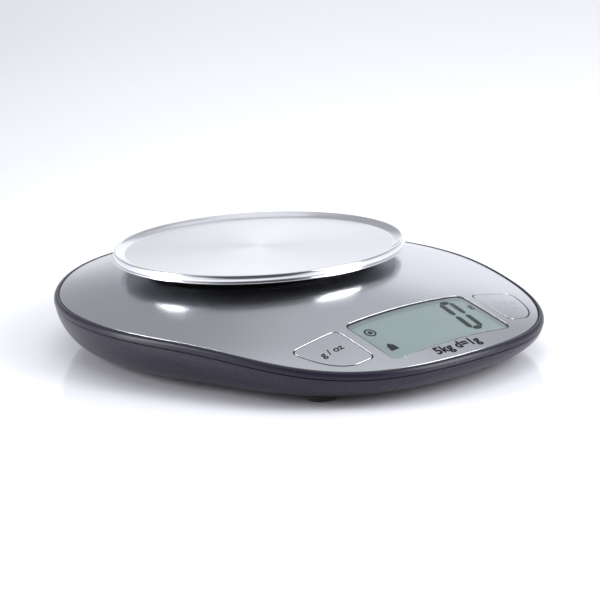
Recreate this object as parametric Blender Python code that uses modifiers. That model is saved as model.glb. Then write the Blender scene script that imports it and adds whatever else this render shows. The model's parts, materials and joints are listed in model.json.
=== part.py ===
"""A digital gram scale: a crowned steel plate on a boat-shaped plastic housing, under a round pan.

Metres, +Z up, standing on the floor at z = 0. The display and the two keys face -Y. The origin is the middle
of the footprint. Every piece is its own object, and the moving ones are the pan with its carrier, the two
keys with their switch plungers, and the battery door.
"""

import math

import bmesh
import bpy
from mathutils import Matrix, Vector

MM = 0.001
GAP = 0.3 * MM  # left between pieces that touch

# ---- Driving dimensions --------------------------------------------------------------------------

# The pan: a shallow steel dish with a rolled rim.
PAN_Y = 21.5 * MM
PAN_RADIUS = 64.2 * MM
PAN_CREST_Z = 40.5 * MM
PAN_FACE_RADIUS = 59.3 * MM
PAN_FACE_Z = 38.6 * MM
PAN_HEM_Z = 36.8 * MM
PAN_SHEET = 0.8 * MM

# The steel plate: crowned both ways about one apex, and outlined by a radius that varies round its middle.
APEX_Y = 17.3 * MM
APEX_Z = 37.46 * MM
CROWN_ACROSS = 291.5 * MM
CROWN_ALONG = 379.0 * MM
OUTLINE_Y = 0.18 * MM
OUTLINE_RADIUS = 101.9 * MM
OUTLINE_WAVES = (-0.6 * MM, 11.95 * MM, 1.45 * MM, 0.6 * MM, -1.7 * MM, -0.43 * MM, -0.77 * MM)
BACK_TRIM = 3.6 * MM  # how far the very back is drawn in, over a narrow lobe
PLATE_SHEET = 0.5 * MM
HUB_HOLE_RADIUS = 46.0 * MM

# The carrier: a cup that reaches down through the plate, with a flange under the pan.
CUP_RADIUS = 42.0 * MM
CUP_WALL = 2.0 * MM
FLANGE_RADIUS = 52.0 * MM
FLANGE_SHEET = 1.4 * MM

# The housing: an upper deck under the plate, and a lower tub that draws in towards its floor.
DECK = 1.8 * MM
RIM_WIDTH = 2.6 * MM
RIM_DEPTH = 2.8 * MM
TONGUE = 1.2 * MM
FLOOR_Z = 3.0 * MM
WALL = 1.8 * MM
FLOOR = 2.0 * MM
ROOT_Z = FLOOR_Z + 0.5 * MM  # what stands on the floor starts inside it
INNER_Z = FLOOR_Z + FLOOR
TUB_INSET = 13.0 * MM
TUB_POWER = 1.6
UPPER_BOSS_RADIUS = 3.2 * MM
LOWER_BOSS_RADIUS = 4.4 * MM
BOSS_SEAT_Z = 14.3 * MM  # the upper bosses' lower faces
BOSS_TOP_Z = 14.0 * MM  # the lower bosses' upper faces

# The display opening, with the depths under the plate's face of what lies in it.
DISPLAY_Y = -87.35 * MM
DISPLAY_HALF = (32.0 * MM, 15.35 * MM)
DISPLAY_CORNER = 3.5 * MM
DISPLAY_CLEARANCE = 0.35 * MM
WINDOW_DROPS = (0.1 * MM, 0.7 * MM)
LCD_DROPS = (1.0 * MM, 3.3 * MM)
TRAY_DROPS = (3.6 * MM, 4.8 * MM)
TRAY_MARGIN = 1.2 * MM

# The keys beside the display, mirrored left and right, and the switches under them.
KEY_INNER_X = 37.0 * MM
KEY_BACK_Y = -73.7 * MM
KEY_FRONT_Y = -96.2 * MM
KEY_TIP_X = 45.0 * MM
KEY_OUTER_X = 59.5 * MM
KEY_BOW = (56.0 * MM, -93.2 * MM)
KEY_CORNER = 2.0 * MM
KEY_GAP = 0.5 * MM
KEY_FLANGE = 0.8 * MM
KEY_FLANGE_SHEET = 1.0 * MM
STEM = (44.0 * MM, -81.2 * MM)
STEM_RADIUS = 2.2 * MM
SWITCH_HALF = 3.0 * MM
SWITCH_HEIGHT = 3.4 * MM
SWITCH_BORE = 2.0 * MM
PLUNGER_RADIUS = 1.6 * MM
PLUNGER_REACH = 5.2 * MM  # from the board up to the plunger's tip

# The load cell: a bar held at its left end, with the pan on its right end.
CELL = (80.0 * MM, 12.7 * MM, 12.7 * MM)
CELL_Z = 12.5 * MM
CELL_HOLES = (20.0 * MM, 35.0 * MM)
CELL_EYE = (7.5 * MM, 4.5 * MM)
CELL_SLOT = 1.6 * MM
PLATFORM_GAP = 0.5 * MM
UPPER_SPACER = (15.0 * MM, 40.0 * MM, 2.0 * MM)  # its two ends and its thickness
LOWER_SPACER_END = -15.0 * MM
LOWER_SPACER_SHEET = 1.9 * MM
STOP_X = 28.0 * MM
STOP_RADIUS = 2.0 * MM
STOP_GAP = 0.6 * MM

# The circuit board and the two AAA cells.
BOARD = (-50.0 * MM, 50.0 * MM, -86.2 * MM, -64.2 * MM, 6.6 * MM, 8.2 * MM)
BATTERY_Y = 66.5 * MM
BATTERY_RADIUS = 5.25 * MM
BATTERY_LENGTH = 44.5 * MM
BATTERY_PITCH = 11.2 * MM
BATTERY_Z = 10.7 * MM
BAY = (25.8 * MM, 11.6 * MM, 16.4 * MM)  # half length, half width and ceiling height
BAY_WALL = 1.5 * MM
LEAD_Z = 15.0 * MM
CONTACT_X = 25.1 * MM
CONTACT_SHEET = 0.4 * MM
CONTACT_HALF = 4.0 * MM
DOOR_CLEARANCE = 0.4 * MM
DOOR_SHEET = 1.8 * MM

FOOT_FRONT = (48.0 * MM, -76.2 * MM)
FOOT_REAR = (55.0 * MM, 61.0 * MM)
HOUSING_SCREW_X = 62.0 * MM
HOUSING_SCREW_Y = (-46.0 * MM, 47.0 * MM)
BOARD_SCREWS = ((30.0 * MM, -83.2 * MM), (46.0 * MM, -67.2 * MM))
FOOT_RADIUS = 7.0 * MM
FOOT_STUD_RADIUS = 2.0 * MM

# Screws: the radius and height of the head, then the radius of the shank.
CELL_SCREW = (3.6 * MM, 2.2 * MM, 2.0 * MM)
HOUSING_SCREW = (3.0 * MM, 2.2 * MM, 1.45 * MM)
BOARD_SCREW = (2.2 * MM, 1.5 * MM, 1.0 * MM)
PAST = 1.0 * MM  # how far a cutter reaches past what it cuts

ROUND = 48  # points round the plate, the housing and the pan
SMALL = 12  # points round a screw or a hole


def pairs(*spots):
    """Each spot with its mirror image across the middle, left one first."""
    return [(side * x, y) for x, y in spots for side in (-1, 1)]


FEET = pairs(FOOT_FRONT, FOOT_REAR)
HOUSING_SCREWS = pairs(*((HOUSING_SCREW_X, y) for y in HOUSING_SCREW_Y))
BOARD_POSTS = pairs(*BOARD_SCREWS)


# ---- Scene, materials and small helpers ----------------------------------------------------------


def clear_scene():
    for obj in list(bpy.data.objects):
        bpy.data.objects.remove(obj, do_unlink=True)


def collection(name):
    made = bpy.data.collections.new(name)
    bpy.context.scene.collection.children.link(made)
    return made


def material(name, color, roughness, metallic=0.0):
    made = bpy.data.materials.new(name)
    made.use_nodes = True
    shader = made.node_tree.nodes["Principled BSDF"]
    shader.inputs["Base Color"].default_value = (*color, 1.0)
    shader.inputs["Roughness"].default_value = roughness
    shader.inputs["Metallic"].default_value = metallic
    return made


def put(obj, name, look, where=None):
    """Names the object, gives it its material and files it in the scale's or the given collection."""
    obj.name = name
    obj.data.name = name
    for holder in list(obj.users_collection):
        holder.objects.unlink(obj)
    (where or SCALE).objects.link(obj)
    if look:
        obj.data.materials.clear()
        obj.data.materials.append(look)
    return obj


def helper(obj, where):
    """Files a cutter or an addition, which a Boolean reads and nothing shows."""
    put(obj, obj.name, None, where)
    obj.hide_render = True
    obj.display_type = "WIRE"
    return obj


def smooth(obj, degrees=35):
    obj.data.shade_smooth()
    obj.data.set_sharp_from_angle(angle=math.radians(degrees))
    return obj


def from_bmesh(bm, name, look):
    bmesh.ops.recalc_face_normals(bm, faces=bm.faces)
    mesh = bpy.data.meshes.new(name)
    bm.to_mesh(mesh)
    bm.free()
    return put(bpy.data.objects.new(name, mesh), name, look)


def box(name, x, y, z, look):
    """A block between the two x, the two y and the two z."""
    bpy.ops.mesh.primitive_cube_add(size=1, location=(sum(x) / 2, sum(y) / 2, sum(z) / 2))
    obj = bpy.context.object
    obj.scale = (x[1] - x[0], y[1] - y[0], z[1] - z[0])
    bpy.ops.object.transform_apply(location=False, rotation=False, scale=True)
    return put(obj, name, look)


def turned(name, profile, look, location=(0, 0, 0), steps=SMALL, turn=None):
    """A solid of revolution: radius and height pairs from the top of the axis round to its foot."""
    mesh = bpy.data.meshes.new(name)
    points = [(radius, 0, height) for radius, height in profile]
    mesh.from_pydata(points, [(i, i + 1) for i in range(len(points) - 1)], [])
    obj = put(bpy.data.objects.new(name, mesh), name, look)
    obj.location = location
    if turn:
        obj.rotation_euler = turn
    screw = obj.modifiers.new("turn", "SCREW")
    screw.steps = steps
    screw.render_steps = steps
    screw.use_merge_vertices = True
    screw.merge_threshold = 0.00001
    screw.use_smooth_shade = True
    return obj


def peg(name, x, y, low, high, radius, steps=SMALL):
    """An upright cylinder, for a cut or a join."""
    bm = bmesh.new()
    bmesh.ops.create_cone(
        bm, cap_ends=True, segments=steps, radius1=radius, radius2=radius, depth=high - low
    )
    bmesh.ops.translate(bm, vec=(x, y, (low + high) / 2), verts=bm.verts)
    return from_bmesh(bm, name, None)


def loft(name, rings, look, capped=False):
    """Joins rings of equal count into one closed skin, last to first again or with a cap at each end."""
    bm = bmesh.new()
    loops = [[bm.verts.new(point) for point in ring] for ring in rings]
    bands = list(zip(loops, loops[1:]))
    if capped:
        bm.faces.new(loops[0])
        bm.faces.new(reversed(loops[-1]))
    else:
        bands.append((loops[-1], loops[0]))
    for one, other in bands:
        for i in range(len(one)):
            j = (i + 1) % len(one)
            bm.faces.new((one[i], one[j], other[j], other[i]))
    return from_bmesh(bm, name, look)


def combine(obj, operation, where):
    """One Boolean against every helper in the collection."""
    step = obj.modifiers.new(operation.lower(), "BOOLEAN")
    step.operation = operation
    step.operand_type = "COLLECTION"
    step.collection = where
    return obj


# ---- The shapes that the plate sets --------------------------------------------------------------


def plate_height(x, y):
    return APEX_Z - x**2 / (2 * CROWN_ACROSS) - (y - APEX_Y) ** 2 / (2 * CROWN_ALONG)


def outline(angle, offset=0.0):
    """The plate's edge, moved out by the offset. The angle is from the front, turning towards +X."""
    waves = sum(wave * math.cos((k + 1) * angle) for k, wave in enumerate(OUTLINE_WAVES))
    lobe = ((1 - math.cos(angle)) / 2) ** 35
    radius = OUTLINE_RADIUS + waves - BACK_TRIM * lobe + offset
    return radius * math.sin(angle), OUTLINE_Y - radius * math.cos(angle)


def angles(count=ROUND):
    return [2 * math.pi * i / count for i in range(count)]


def edge_ring(offset, drop):
    """A ring round the edge, at a drop below the plate's own edge."""
    ring = []
    for angle in angles():
        edge = plate_height(*outline(angle))
        ring.append((*outline(angle, offset), edge - drop))
    return ring


def crown_ring(share, drop, offset=0.0):
    """A ring this share of the way from the hub hole to the edge, on the crown lowered by the drop."""
    ring = []
    for angle in angles():
        inner = Vector((HUB_HOLE_RADIUS * math.sin(angle), PAN_Y - HUB_HOLE_RADIUS * math.cos(angle)))
        outer = Vector(outline(angle, offset))
        x, y = inner.lerp(outer, share)
        ring.append((x, y, plate_height(x, y) - drop))
    return ring


def tub_rings(offset, floor, inset):
    """The tub's side from its floor up to the seam, in the curve of a superellipse."""
    rings = []
    for share in (1.0, 0.96, 0.85, 0.65, 0.4, 0.18, 0.0):
        bulge = 1 - (1 - share**TUB_POWER) ** (1 / TUB_POWER)
        ring = []
        for angle in angles():
            seam = plate_height(*outline(angle)) - RIM_DEPTH - GAP
            point = outline(angle, offset - inset * bulge)
            ring.append((*point, seam - (seam - floor) * share))
        rings.append(ring)
    return rings


def rounded_box(half, corner, grow=0.0):
    """A rounded rectangle about the display's middle."""
    radius = corner + grow
    points = []
    for quarter, (side, end) in enumerate(((1, 1), (-1, 1), (-1, -1), (1, -1))):
        cx = side * (half[0] - corner)
        cy = DISPLAY_Y + end * (half[1] - corner)
        for step in range(5):
            turn = math.pi / 2 * (quarter + step / 4)
            points.append((cx + radius * math.cos(turn), cy + radius * math.sin(turn)))
    return points


def key_outline(side, grow=0.0):
    """A key's outline, straight beside the display and bowed outside it. Side -1 mirrors it."""
    inner = KEY_INNER_X - grow
    back = KEY_BACK_Y + grow
    front = KEY_FRONT_Y - grow
    corner = KEY_CORNER + grow
    points = []
    for cx, cy, start in (
        (inner + corner, back - corner, 90),
        (inner + corner, front + corner, 180),
    ):
        for step in range(4):
            turn = math.radians(start + 30 * step)
            points.append((cx + corner * math.cos(turn), cy + corner * math.sin(turn)))
    tip = Vector((KEY_TIP_X, front))
    bow = Vector((KEY_BOW[0] + grow * 0.8, KEY_BOW[1] - grow * 0.6))
    end = Vector((KEY_OUTER_X + grow, back - corner))
    for step in range(9):
        share = step / 8
        point = tip.lerp(bow, share).lerp(bow.lerp(end, share), share)
        points.append(tuple(point))
    for step in (1, 2, 3):
        turn = math.radians(30 * step)
        points.append(
            (KEY_OUTER_X + grow - corner + corner * math.cos(turn), back - corner + corner * math.sin(turn))
        )
    return [(side * x, y) for x, y in points]


def crowned(name, levels, look, shares=(0.35, 0.7)):
    """A plug that follows the crown, from outlines with their drops, capped by shrunken rings."""
    top, bottom = levels[0], levels[-1]

    def shrunk(level, share):
        points, drop = level
        middle = sum((Vector(p) for p in points), Vector((0, 0))) / len(points)
        ring = []
        for point in points:
            x, y = middle.lerp(Vector(point), share)
            ring.append((x, y, plate_height(x, y) - drop))
        return ring

    rings = [shrunk(top, share) for share in shares]
    rings += [shrunk(level, 1.0) for level in levels]
    rings += [shrunk(bottom, share) for share in reversed(shares)]
    return loft(name, rings, look, capped=True)


def prism(name, points, low, high):
    rings = [[(x, y, z) for x, y in points] for z in (low, high)]
    return loft(name, rings, None, capped=True)


def smooth_path(points, per_span=4):
    """Points along a Catmull-Rom curve through the given ones."""
    ends = [points[0], *points, points[-1]]
    path = []
    for a, b, c, d in zip(ends, ends[1:], ends[2:], ends[3:]):
        a, b, c, d = map(Vector, (a, b, c, d))
        for step in range(per_span):
            t = step / per_span
            path.append(
                b
                + t * (c - a) / 2
                + t**2 * (2 * a - 5 * b + 4 * c - d) / 2
                + t**3 * (3 * b - a - 3 * c + d) / 2
            )
    path.append(Vector(points[-1]))
    return path


def tube(name, path, radius, look, resolution=1):
    curve = bpy.data.curves.new(name, "CURVE")
    curve.dimensions = "3D"
    curve.bevel_depth = radius
    curve.bevel_resolution = resolution
    curve.use_fill_caps = True
    line = curve.splines.new("POLY")
    line.points.add(len(path) - 1)
    for point, place in zip(line.points, path):
        point.co = (*place, 1.0)
    return put(bpy.data.objects.new(name, curve), name, look)


# ---- The pan and what carries it -----------------------------------------------------------------


def make_pan():
    under = PAN_FACE_Z - PAN_SHEET
    profile = [
        (0, PAN_FACE_Z),
        (PAN_FACE_RADIUS, PAN_FACE_Z),
        (PAN_RADIUS - 2.6 * MM, PAN_CREST_Z - 1.0 * MM),
        (PAN_RADIUS - 1.4 * MM, PAN_CREST_Z - 0.2 * MM),
        (PAN_RADIUS - 0.8 * MM, PAN_CREST_Z),
        (PAN_RADIUS - 0.2 * MM, PAN_CREST_Z - 0.3 * MM),
        (PAN_RADIUS, PAN_CREST_Z - 0.9 * MM),
        (PAN_RADIUS + 0.2 * MM, PAN_HEM_Z + 0.3 * MM),
        (PAN_RADIUS - 0.2 * MM, PAN_HEM_Z),
        (PAN_RADIUS - 0.9 * MM, PAN_HEM_Z + 0.3 * MM),
        (PAN_RADIUS - 1.1 * MM, PAN_CREST_Z - 1.6 * MM),
        (PAN_FACE_RADIUS + 0.2 * MM, under),
        (0, under),
    ]
    turned("weighing_pan", profile, STEEL, (0, PAN_Y, 0), steps=ROUND)


def carrier_levels():
    """The heights of the upper spacer and of the carrier's floor, from the bar upwards."""
    spacer = CELL_Z + CELL[2] + PLATFORM_GAP
    floor = spacer + UPPER_SPACER[2] + GAP
    return (spacer, spacer + UPPER_SPACER[2]), (floor, floor + CUP_WALL)


def screw_holes(name, z, spots, screw):
    """A collection of cutters, each as wide as the screw's shank with the gap round it."""
    cuts = collection(f"{name}_cuts")
    for i, (x, y) in enumerate(spots, 1):
        helper(peg(f"{name}_hole_{i}", x, y, z[0] - PAST, z[1] + PAST, screw[2] + GAP), cuts)
    return cuts


def make_carrier():
    spacer, floor = carrier_levels()
    flange_top = PAN_FACE_Z - PAN_SHEET - GAP
    flange_under = flange_top - FLANGE_SHEET
    profile = [
        (0, floor[1]),
        (CUP_RADIUS - CUP_WALL, floor[1]),
        (CUP_RADIUS - CUP_WALL, flange_top),
        (FLANGE_RADIUS, flange_top),
        (FLANGE_RADIUS, flange_under),
        (CUP_RADIUS, flange_under),
        (CUP_RADIUS, floor[0]),
        (0, floor[0]),
    ]
    spots = [(x, PAN_Y) for x in CELL_HOLES]
    carrier = turned("pan_carrier", profile, BLACK, (0, PAN_Y, 0), steps=36)
    combine(carrier, "DIFFERENCE", screw_holes("pan_carrier", floor, spots, CELL_SCREW))

    y = (PAN_Y - CELL[1] / 2, PAN_Y + CELL[1] / 2)
    block = box("upper_spacer", UPPER_SPACER[0:2], y, spacer, ZINC)
    combine(block, "DIFFERENCE", screw_holes("upper_spacer", spacer, spots, CELL_SCREW))
    for i, (x, y) in enumerate(spots, 1):
        make_screw(f"carrier_screw_{i}", x, y, floor[1] + GAP, CELL_Z + 3.0 * MM, CELL_SCREW)


def make_screw(name, x, y, seat, tip, screw):
    """A pan-head screw: its head starts at the seat, and its shank runs to the tip, up or down."""
    head_radius, head, shank = screw
    socket = 0.9 * MM
    chamfer = 0.6 * MM
    length = abs(tip - seat)
    profile = [
        (0, head - socket),
        (head_radius * 0.38, head - socket),
        (head_radius * 0.45, head),
        (head_radius * 0.8, head),
        (head_radius, head * 0.55),
        (head_radius, 0),
        (shank, 0),
        (shank, chamfer - length),
        (shank - chamfer, -length),
        (0, -length),
    ]
    turn = (math.pi, 0, 0) if tip > seat else None
    return turned(name, profile, ZINC, (x, y, seat), steps=10, turn=turn)


# ---- The load cell -------------------------------------------------------------------------------


def make_load_cell():
    half = CELL[0] / 2
    y = (PAN_Y - CELL[1] / 2, PAN_Y + CELL[1] / 2)
    z = (CELL_Z, CELL_Z + CELL[2])
    middle = CELL_Z + CELL[2] / 2
    bar = box("load_cell", (-half, half), y, z, ALUMINIUM)
    spots = [(side * x, PAN_Y) for x in CELL_HOLES for side in (-1, 1)]
    cuts = screw_holes("load_cell", z, spots, CELL_SCREW)
    for side in (-1, 1):
        eye = peg(f"bar_eye_{side}", 0, 0, -CELL[1], CELL[1], CELL_EYE[1], steps=16)
        eye.rotation_euler = (math.pi / 2, 0, 0)
        eye.location = (side * CELL_EYE[0], PAN_Y, middle)
        helper(eye, cuts)
    slot = box(
        "bar_slot",
        (-CELL_EYE[0], CELL_EYE[0]),
        (y[0] - PAST, y[1] + PAST),
        (middle - CELL_SLOT, middle + CELL_SLOT),
        None,
    )
    helper(slot, cuts)
    combine(bar, "DIFFERENCE", cuts)

    coat = (z[1] + 0.2 * MM, z[1] + 1.1 * MM)
    box("strain_gauge_coating", (-13 * MM, 12 * MM), (y[0] + PAST, y[1] - PAST), coat, WHITE)

    under = (z[0] - GAP - LOWER_SPACER_SHEET, z[0] - GAP)
    fixed = [(-x, PAN_Y) for x in CELL_HOLES]
    spacer = box("lower_spacer", (-half, LOWER_SPACER_END), y, under, ZINC)
    combine(spacer, "DIFFERENCE", screw_holes("lower_spacer", under, fixed, CELL_SCREW))
    for i, (x, spot_y) in enumerate(fixed, 1):
        make_screw(f"load_cell_screw_{i}", x, spot_y, FLOOR_Z + 3.0 * MM, z[0] + 9.0 * MM, CELL_SCREW)

    top = z[0] - STOP_GAP
    foot = FLOOR_Z + FLOOR + 1.0 * MM
    profile = [
        (0, top),
        (STOP_RADIUS - 0.5 * MM, top),
        (STOP_RADIUS, top - 0.5 * MM),
        (STOP_RADIUS, foot),
        (0, foot),
    ]
    turned("overload_stop", profile, ZINC, (STOP_X, PAN_Y, 0))


# ---- The plate, the housing and the feet ---------------------------------------------------------


def cut_openings(name):
    """The display opening and the two key openings, cut straight down."""
    cuts = collection(f"{name}_cuts")
    height = PAN_CREST_Z
    helper(prism(f"{name}_display", rounded_box(DISPLAY_HALF, DISPLAY_CORNER), 0, height), cuts)
    for side in (-1, 1):
        helper(prism(f"{name}_key_{side}", key_outline(side, KEY_GAP), 0, height), cuts)
    return cuts


def make_plate():
    shares = (0, 0.25, 0.5, 0.75, 1.0)
    rings = [crown_ring(share, 0) for share in shares]
    rings += [crown_ring(share, PLATE_SHEET) for share in reversed(shares)]
    plate = loft("top_plate", rings, STEEL)
    combine(plate, "DIFFERENCE", cut_openings("top_plate"))


def make_upper_housing():
    top = PLATE_SHEET + GAP
    under = top + DECK
    shares = (0, 0.25, 0.5, 0.75)
    rings = [crown_ring(share, top) for share in shares]
    rings += [
        edge_ring(GAP, top),
        edge_ring(0.4 * MM, 0.1 * MM),
        edge_ring(1.0 * MM, -0.1 * MM),
        edge_ring(1.9 * MM, 0.3 * MM),
        edge_ring(RIM_WIDTH, 1.3 * MM),
        edge_ring(RIM_WIDTH, RIM_DEPTH),
        edge_ring(-0.2 * MM, RIM_DEPTH),
        edge_ring(-0.2 * MM, RIM_DEPTH + TONGUE),
        edge_ring(-1.4 * MM, RIM_DEPTH + TONGUE),
        crown_ring(1.0, under + 0.2 * MM, -1.4 * MM),
    ]
    rings += [crown_ring(share, under) for share in reversed(shares)]
    shell = loft("upper_housing", rings, GREY)
    adds = collection("upper_housing_additions")
    cuts = cut_openings("upper_housing")
    pilot = HOUSING_SCREW[2] + GAP
    for i, (x, y) in enumerate(HOUSING_SCREWS, 1):
        deck = plate_height(x, y) - top - DECK / 2
        helper(peg(f"upper_boss_{i}", x, y, BOSS_SEAT_Z, deck, UPPER_BOSS_RADIUS), adds)
        helper(peg(f"upper_pilot_{i}", x, y, 0, BOSS_SEAT_Z + 7.0 * MM, pilot), cuts)
    combine(shell, "UNION", adds)
    combine(shell, "DIFFERENCE", cuts)


def make_lower_housing():
    edge = RIM_WIDTH - 0.3 * MM
    outside = tub_rings(edge, FLOOR_Z, TUB_INSET)
    inside = tub_rings(edge - WALL, FLOOR_Z + FLOOR, TUB_INSET - 0.3 * MM)
    tub = loft("lower_housing", outside + inside[::-1], GREY, capped=True)
    adds = collection("lower_housing_additions")
    cuts = collection("lower_housing_cuts")
    add_screw_seats(adds, cuts)
    add_cell_seat(adds, cuts)
    add_battery_bay(adds, cuts)
    combine(tub, "UNION", adds)
    combine(tub, "DIFFERENCE", cuts)


def add_screw_seats(adds, cuts):
    """Bosses and recesses for the housing screws, posts for the board, and holes for the feet."""
    recess_top = FLOOR_Z + 3.6 * MM
    for i, (x, y) in enumerate(HOUSING_SCREWS, 1):
        helper(peg(f"boss_{i}", x, y, ROOT_Z, BOSS_TOP_Z, LOWER_BOSS_RADIUS), adds)
        helper(peg(f"boss_bore_{i}", x, y, 0, BOSS_TOP_Z + PAST, HOUSING_SCREW[2] + 0.35 * MM), cuts)
        helper(peg(f"boss_recess_{i}", x, y, 0, recess_top, HOUSING_SCREW[0] + 0.5 * MM), cuts)
    for i, (x, y) in enumerate(BOARD_POSTS, 1):
        helper(peg(f"board_post_{i}", x, y, ROOT_Z, BOARD[4] - GAP, 2.6 * MM), adds)
        helper(peg(f"board_bore_{i}", x, y, FLOOR_Z + 1.0 * MM, BOARD[5], BOARD_SCREW[2] + GAP), cuts)
    for i, (x, y) in enumerate(FEET, 1):
        helper(peg(f"foot_hole_{i}", x, y, 0, INNER_Z + PAST, FOOT_STUD_RADIUS + 0.4 * MM), cuts)


def add_cell_seat(adds, cuts):
    """The pad under the load cell's fixed end, and the boss of its overload stop."""
    half = CELL[0] / 2
    top = CELL_Z - 2 * GAP - LOWER_SPACER_SHEET
    margin = 1.5 * MM
    y = (PAN_Y - CELL[1] / 2 - margin, PAN_Y + CELL[1] / 2 + margin)
    pad = box("cell_pad", (-half - margin, LOWER_SPACER_END + PAST), y, (ROOT_Z, top), None)
    helper(pad, adds)
    for i, x in enumerate(CELL_HOLES, 1):
        helper(peg(f"cell_bore_{i}", -x, PAN_Y, 0, top + PAST, CELL_SCREW[2] + GAP), cuts)
        helper(peg(f"cell_recess_{i}", -x, PAN_Y, 0, FLOOR_Z + 3.3 * MM, CELL_SCREW[0] + 0.7 * MM), cuts)
    helper(peg("stop_boss", STOP_X, PAN_Y, ROOT_Z, CELL_Z - 3.0 * MM, 2 * STOP_RADIUS), adds)
    helper(peg("stop_bore", STOP_X, PAN_Y, INNER_Z - 0.5 * MM, CELL_Z, STOP_RADIUS + GAP), cuts)


def add_battery_bay(adds, cuts):
    """A box open below for the two cells, with a notch for each lead."""
    length, width, ceiling = BAY
    y = (BATTERY_Y - width, BATTERY_Y + width)
    outer_y = (y[0] - BAY_WALL, y[1] + BAY_WALL)
    outer_x = (-length - BAY_WALL, length + BAY_WALL)
    helper(box("battery_bay", outer_x, outer_y, (ROOT_Z, ceiling + BAY_WALL), None), adds)
    helper(box("battery_hollow", (-length, length), y, (0, ceiling), None), cuts)
    for i, (x, lead_y) in enumerate(lead_exits(), 1):
        notch_y = (lead_y - PAST, lead_y + PAST)
        notch_z = (LEAD_Z - PAST, LEAD_Z + PAST)
        helper(box(f"lead_notch_{i}", (x - 4 * MM, x + PAST), notch_y, notch_z, None), cuts)


def make_fasteners():
    for i, (x, y) in enumerate(HOUSING_SCREWS, 1):
        make_screw(f"housing_screw_{i}", x, y, FLOOR_Z + 3.3 * MM, FLOOR_Z + 16.5 * MM, HOUSING_SCREW)
    for i, (x, y) in enumerate(BOARD_POSTS, 1):
        make_screw(f"board_screw_{i}", x, y, BOARD[5] + GAP, FLOOR_Z + 1.6 * MM, BOARD_SCREW)


def make_feet():
    """Rubber discs, each with a stud pushed up through the floor."""
    names = ("front_left", "front_right", "rear_left", "rear_right")
    top = FLOOR_Z - GAP
    stud = INNER_Z + 1.0 * MM
    profile = [
        (0, stud),
        (FOOT_STUD_RADIUS - 0.4 * MM, stud),
        (FOOT_STUD_RADIUS, stud - 0.6 * MM),
        (FOOT_STUD_RADIUS, top),
        (FOOT_RADIUS, top),
        (FOOT_RADIUS, 0.6 * MM),
        (FOOT_RADIUS - 0.6 * MM, 0),
        (0, 0),
    ]
    for name, (x, y) in zip(names, FEET):
        turned(f"foot_{name}", profile, RUBBER, (x, y, 0), steps=16)


# ---- The display and the keys --------------------------------------------------------------------


def make_display():
    opening = rounded_box(DISPLAY_HALF, DISPLAY_CORNER, -DISPLAY_CLEARANCE)
    crowned("display_window", [(opening, drop) for drop in WINDOW_DROPS], CLEAR)
    crowned("lcd_panel", [(opening, drop) for drop in LCD_DROPS], LCD)
    tray = rounded_box(DISPLAY_HALF, DISPLAY_CORNER, TRAY_MARGIN)
    crowned("lcd_tray", [(tray, drop) for drop in TRAY_DROPS], BLACK)
    back = DISPLAY_Y + DISPLAY_HALF[1] + 1.8 * MM
    z = (BOARD[5] + GAP, plate_height(0, back) - 4.0 * MM)
    box("display_ribbon", (-20 * MM, 20 * MM), (back, back + 0.4 * MM), z, AMBER)


def make_key(name, side):
    """The steel skin flush with the plate, the plastic key under it, and the switch below."""
    skin = key_outline(side)
    crowned(f"{name}_key_skin", [(skin, 0), (skin, PLATE_SHEET)], STEEL)
    top = PLATE_SHEET + GAP
    under = top + DECK + GAP + 0.05 * MM
    flange = key_outline(side, KEY_GAP + KEY_FLANGE)
    levels = [(skin, top), (skin, under), (flange, under), (flange, under + KEY_FLANGE_SHEET)]
    key = crowned(f"{name}_key", levels, GREY)
    x, y = side * STEM[0], STEM[1]
    plunger_top = BOARD[5] + PLUNGER_REACH
    adds = collection(f"{name}_key_additions")
    stem_top = plate_height(x, y) - under - 0.5 * MM
    helper(peg(f"{name}_stem", x, y, plunger_top + GAP, stem_top, STEM_RADIUS), adds)
    combine(key, "UNION", adds)

    base = BOARD[5] + GAP
    half = SWITCH_HALF
    body = box(
        f"{name}_switch", (x - half, x + half), (y - half, y + half), (base, base + SWITCH_HEIGHT), BLACK
    )
    cuts = collection(f"{name}_switch_cuts")
    bore_foot = base + 1.0 * MM
    helper(peg(f"{name}_switch_bore", x, y, bore_foot, plunger_top, SWITCH_BORE), cuts)
    combine(body, "DIFFERENCE", cuts)
    plunger_foot = bore_foot + 0.9 * MM
    profile = [
        (0, plunger_top),
        (PLUNGER_RADIUS - 0.3 * MM, plunger_top),
        (PLUNGER_RADIUS, plunger_top - 0.3 * MM),
        (PLUNGER_RADIUS, plunger_foot),
        (0, plunger_foot),
    ]
    turned(f"{name}_switch_plunger", profile, WHITE, (x, y, 0))


# ---- The electronics and the batteries -----------------------------------------------------------


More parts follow.
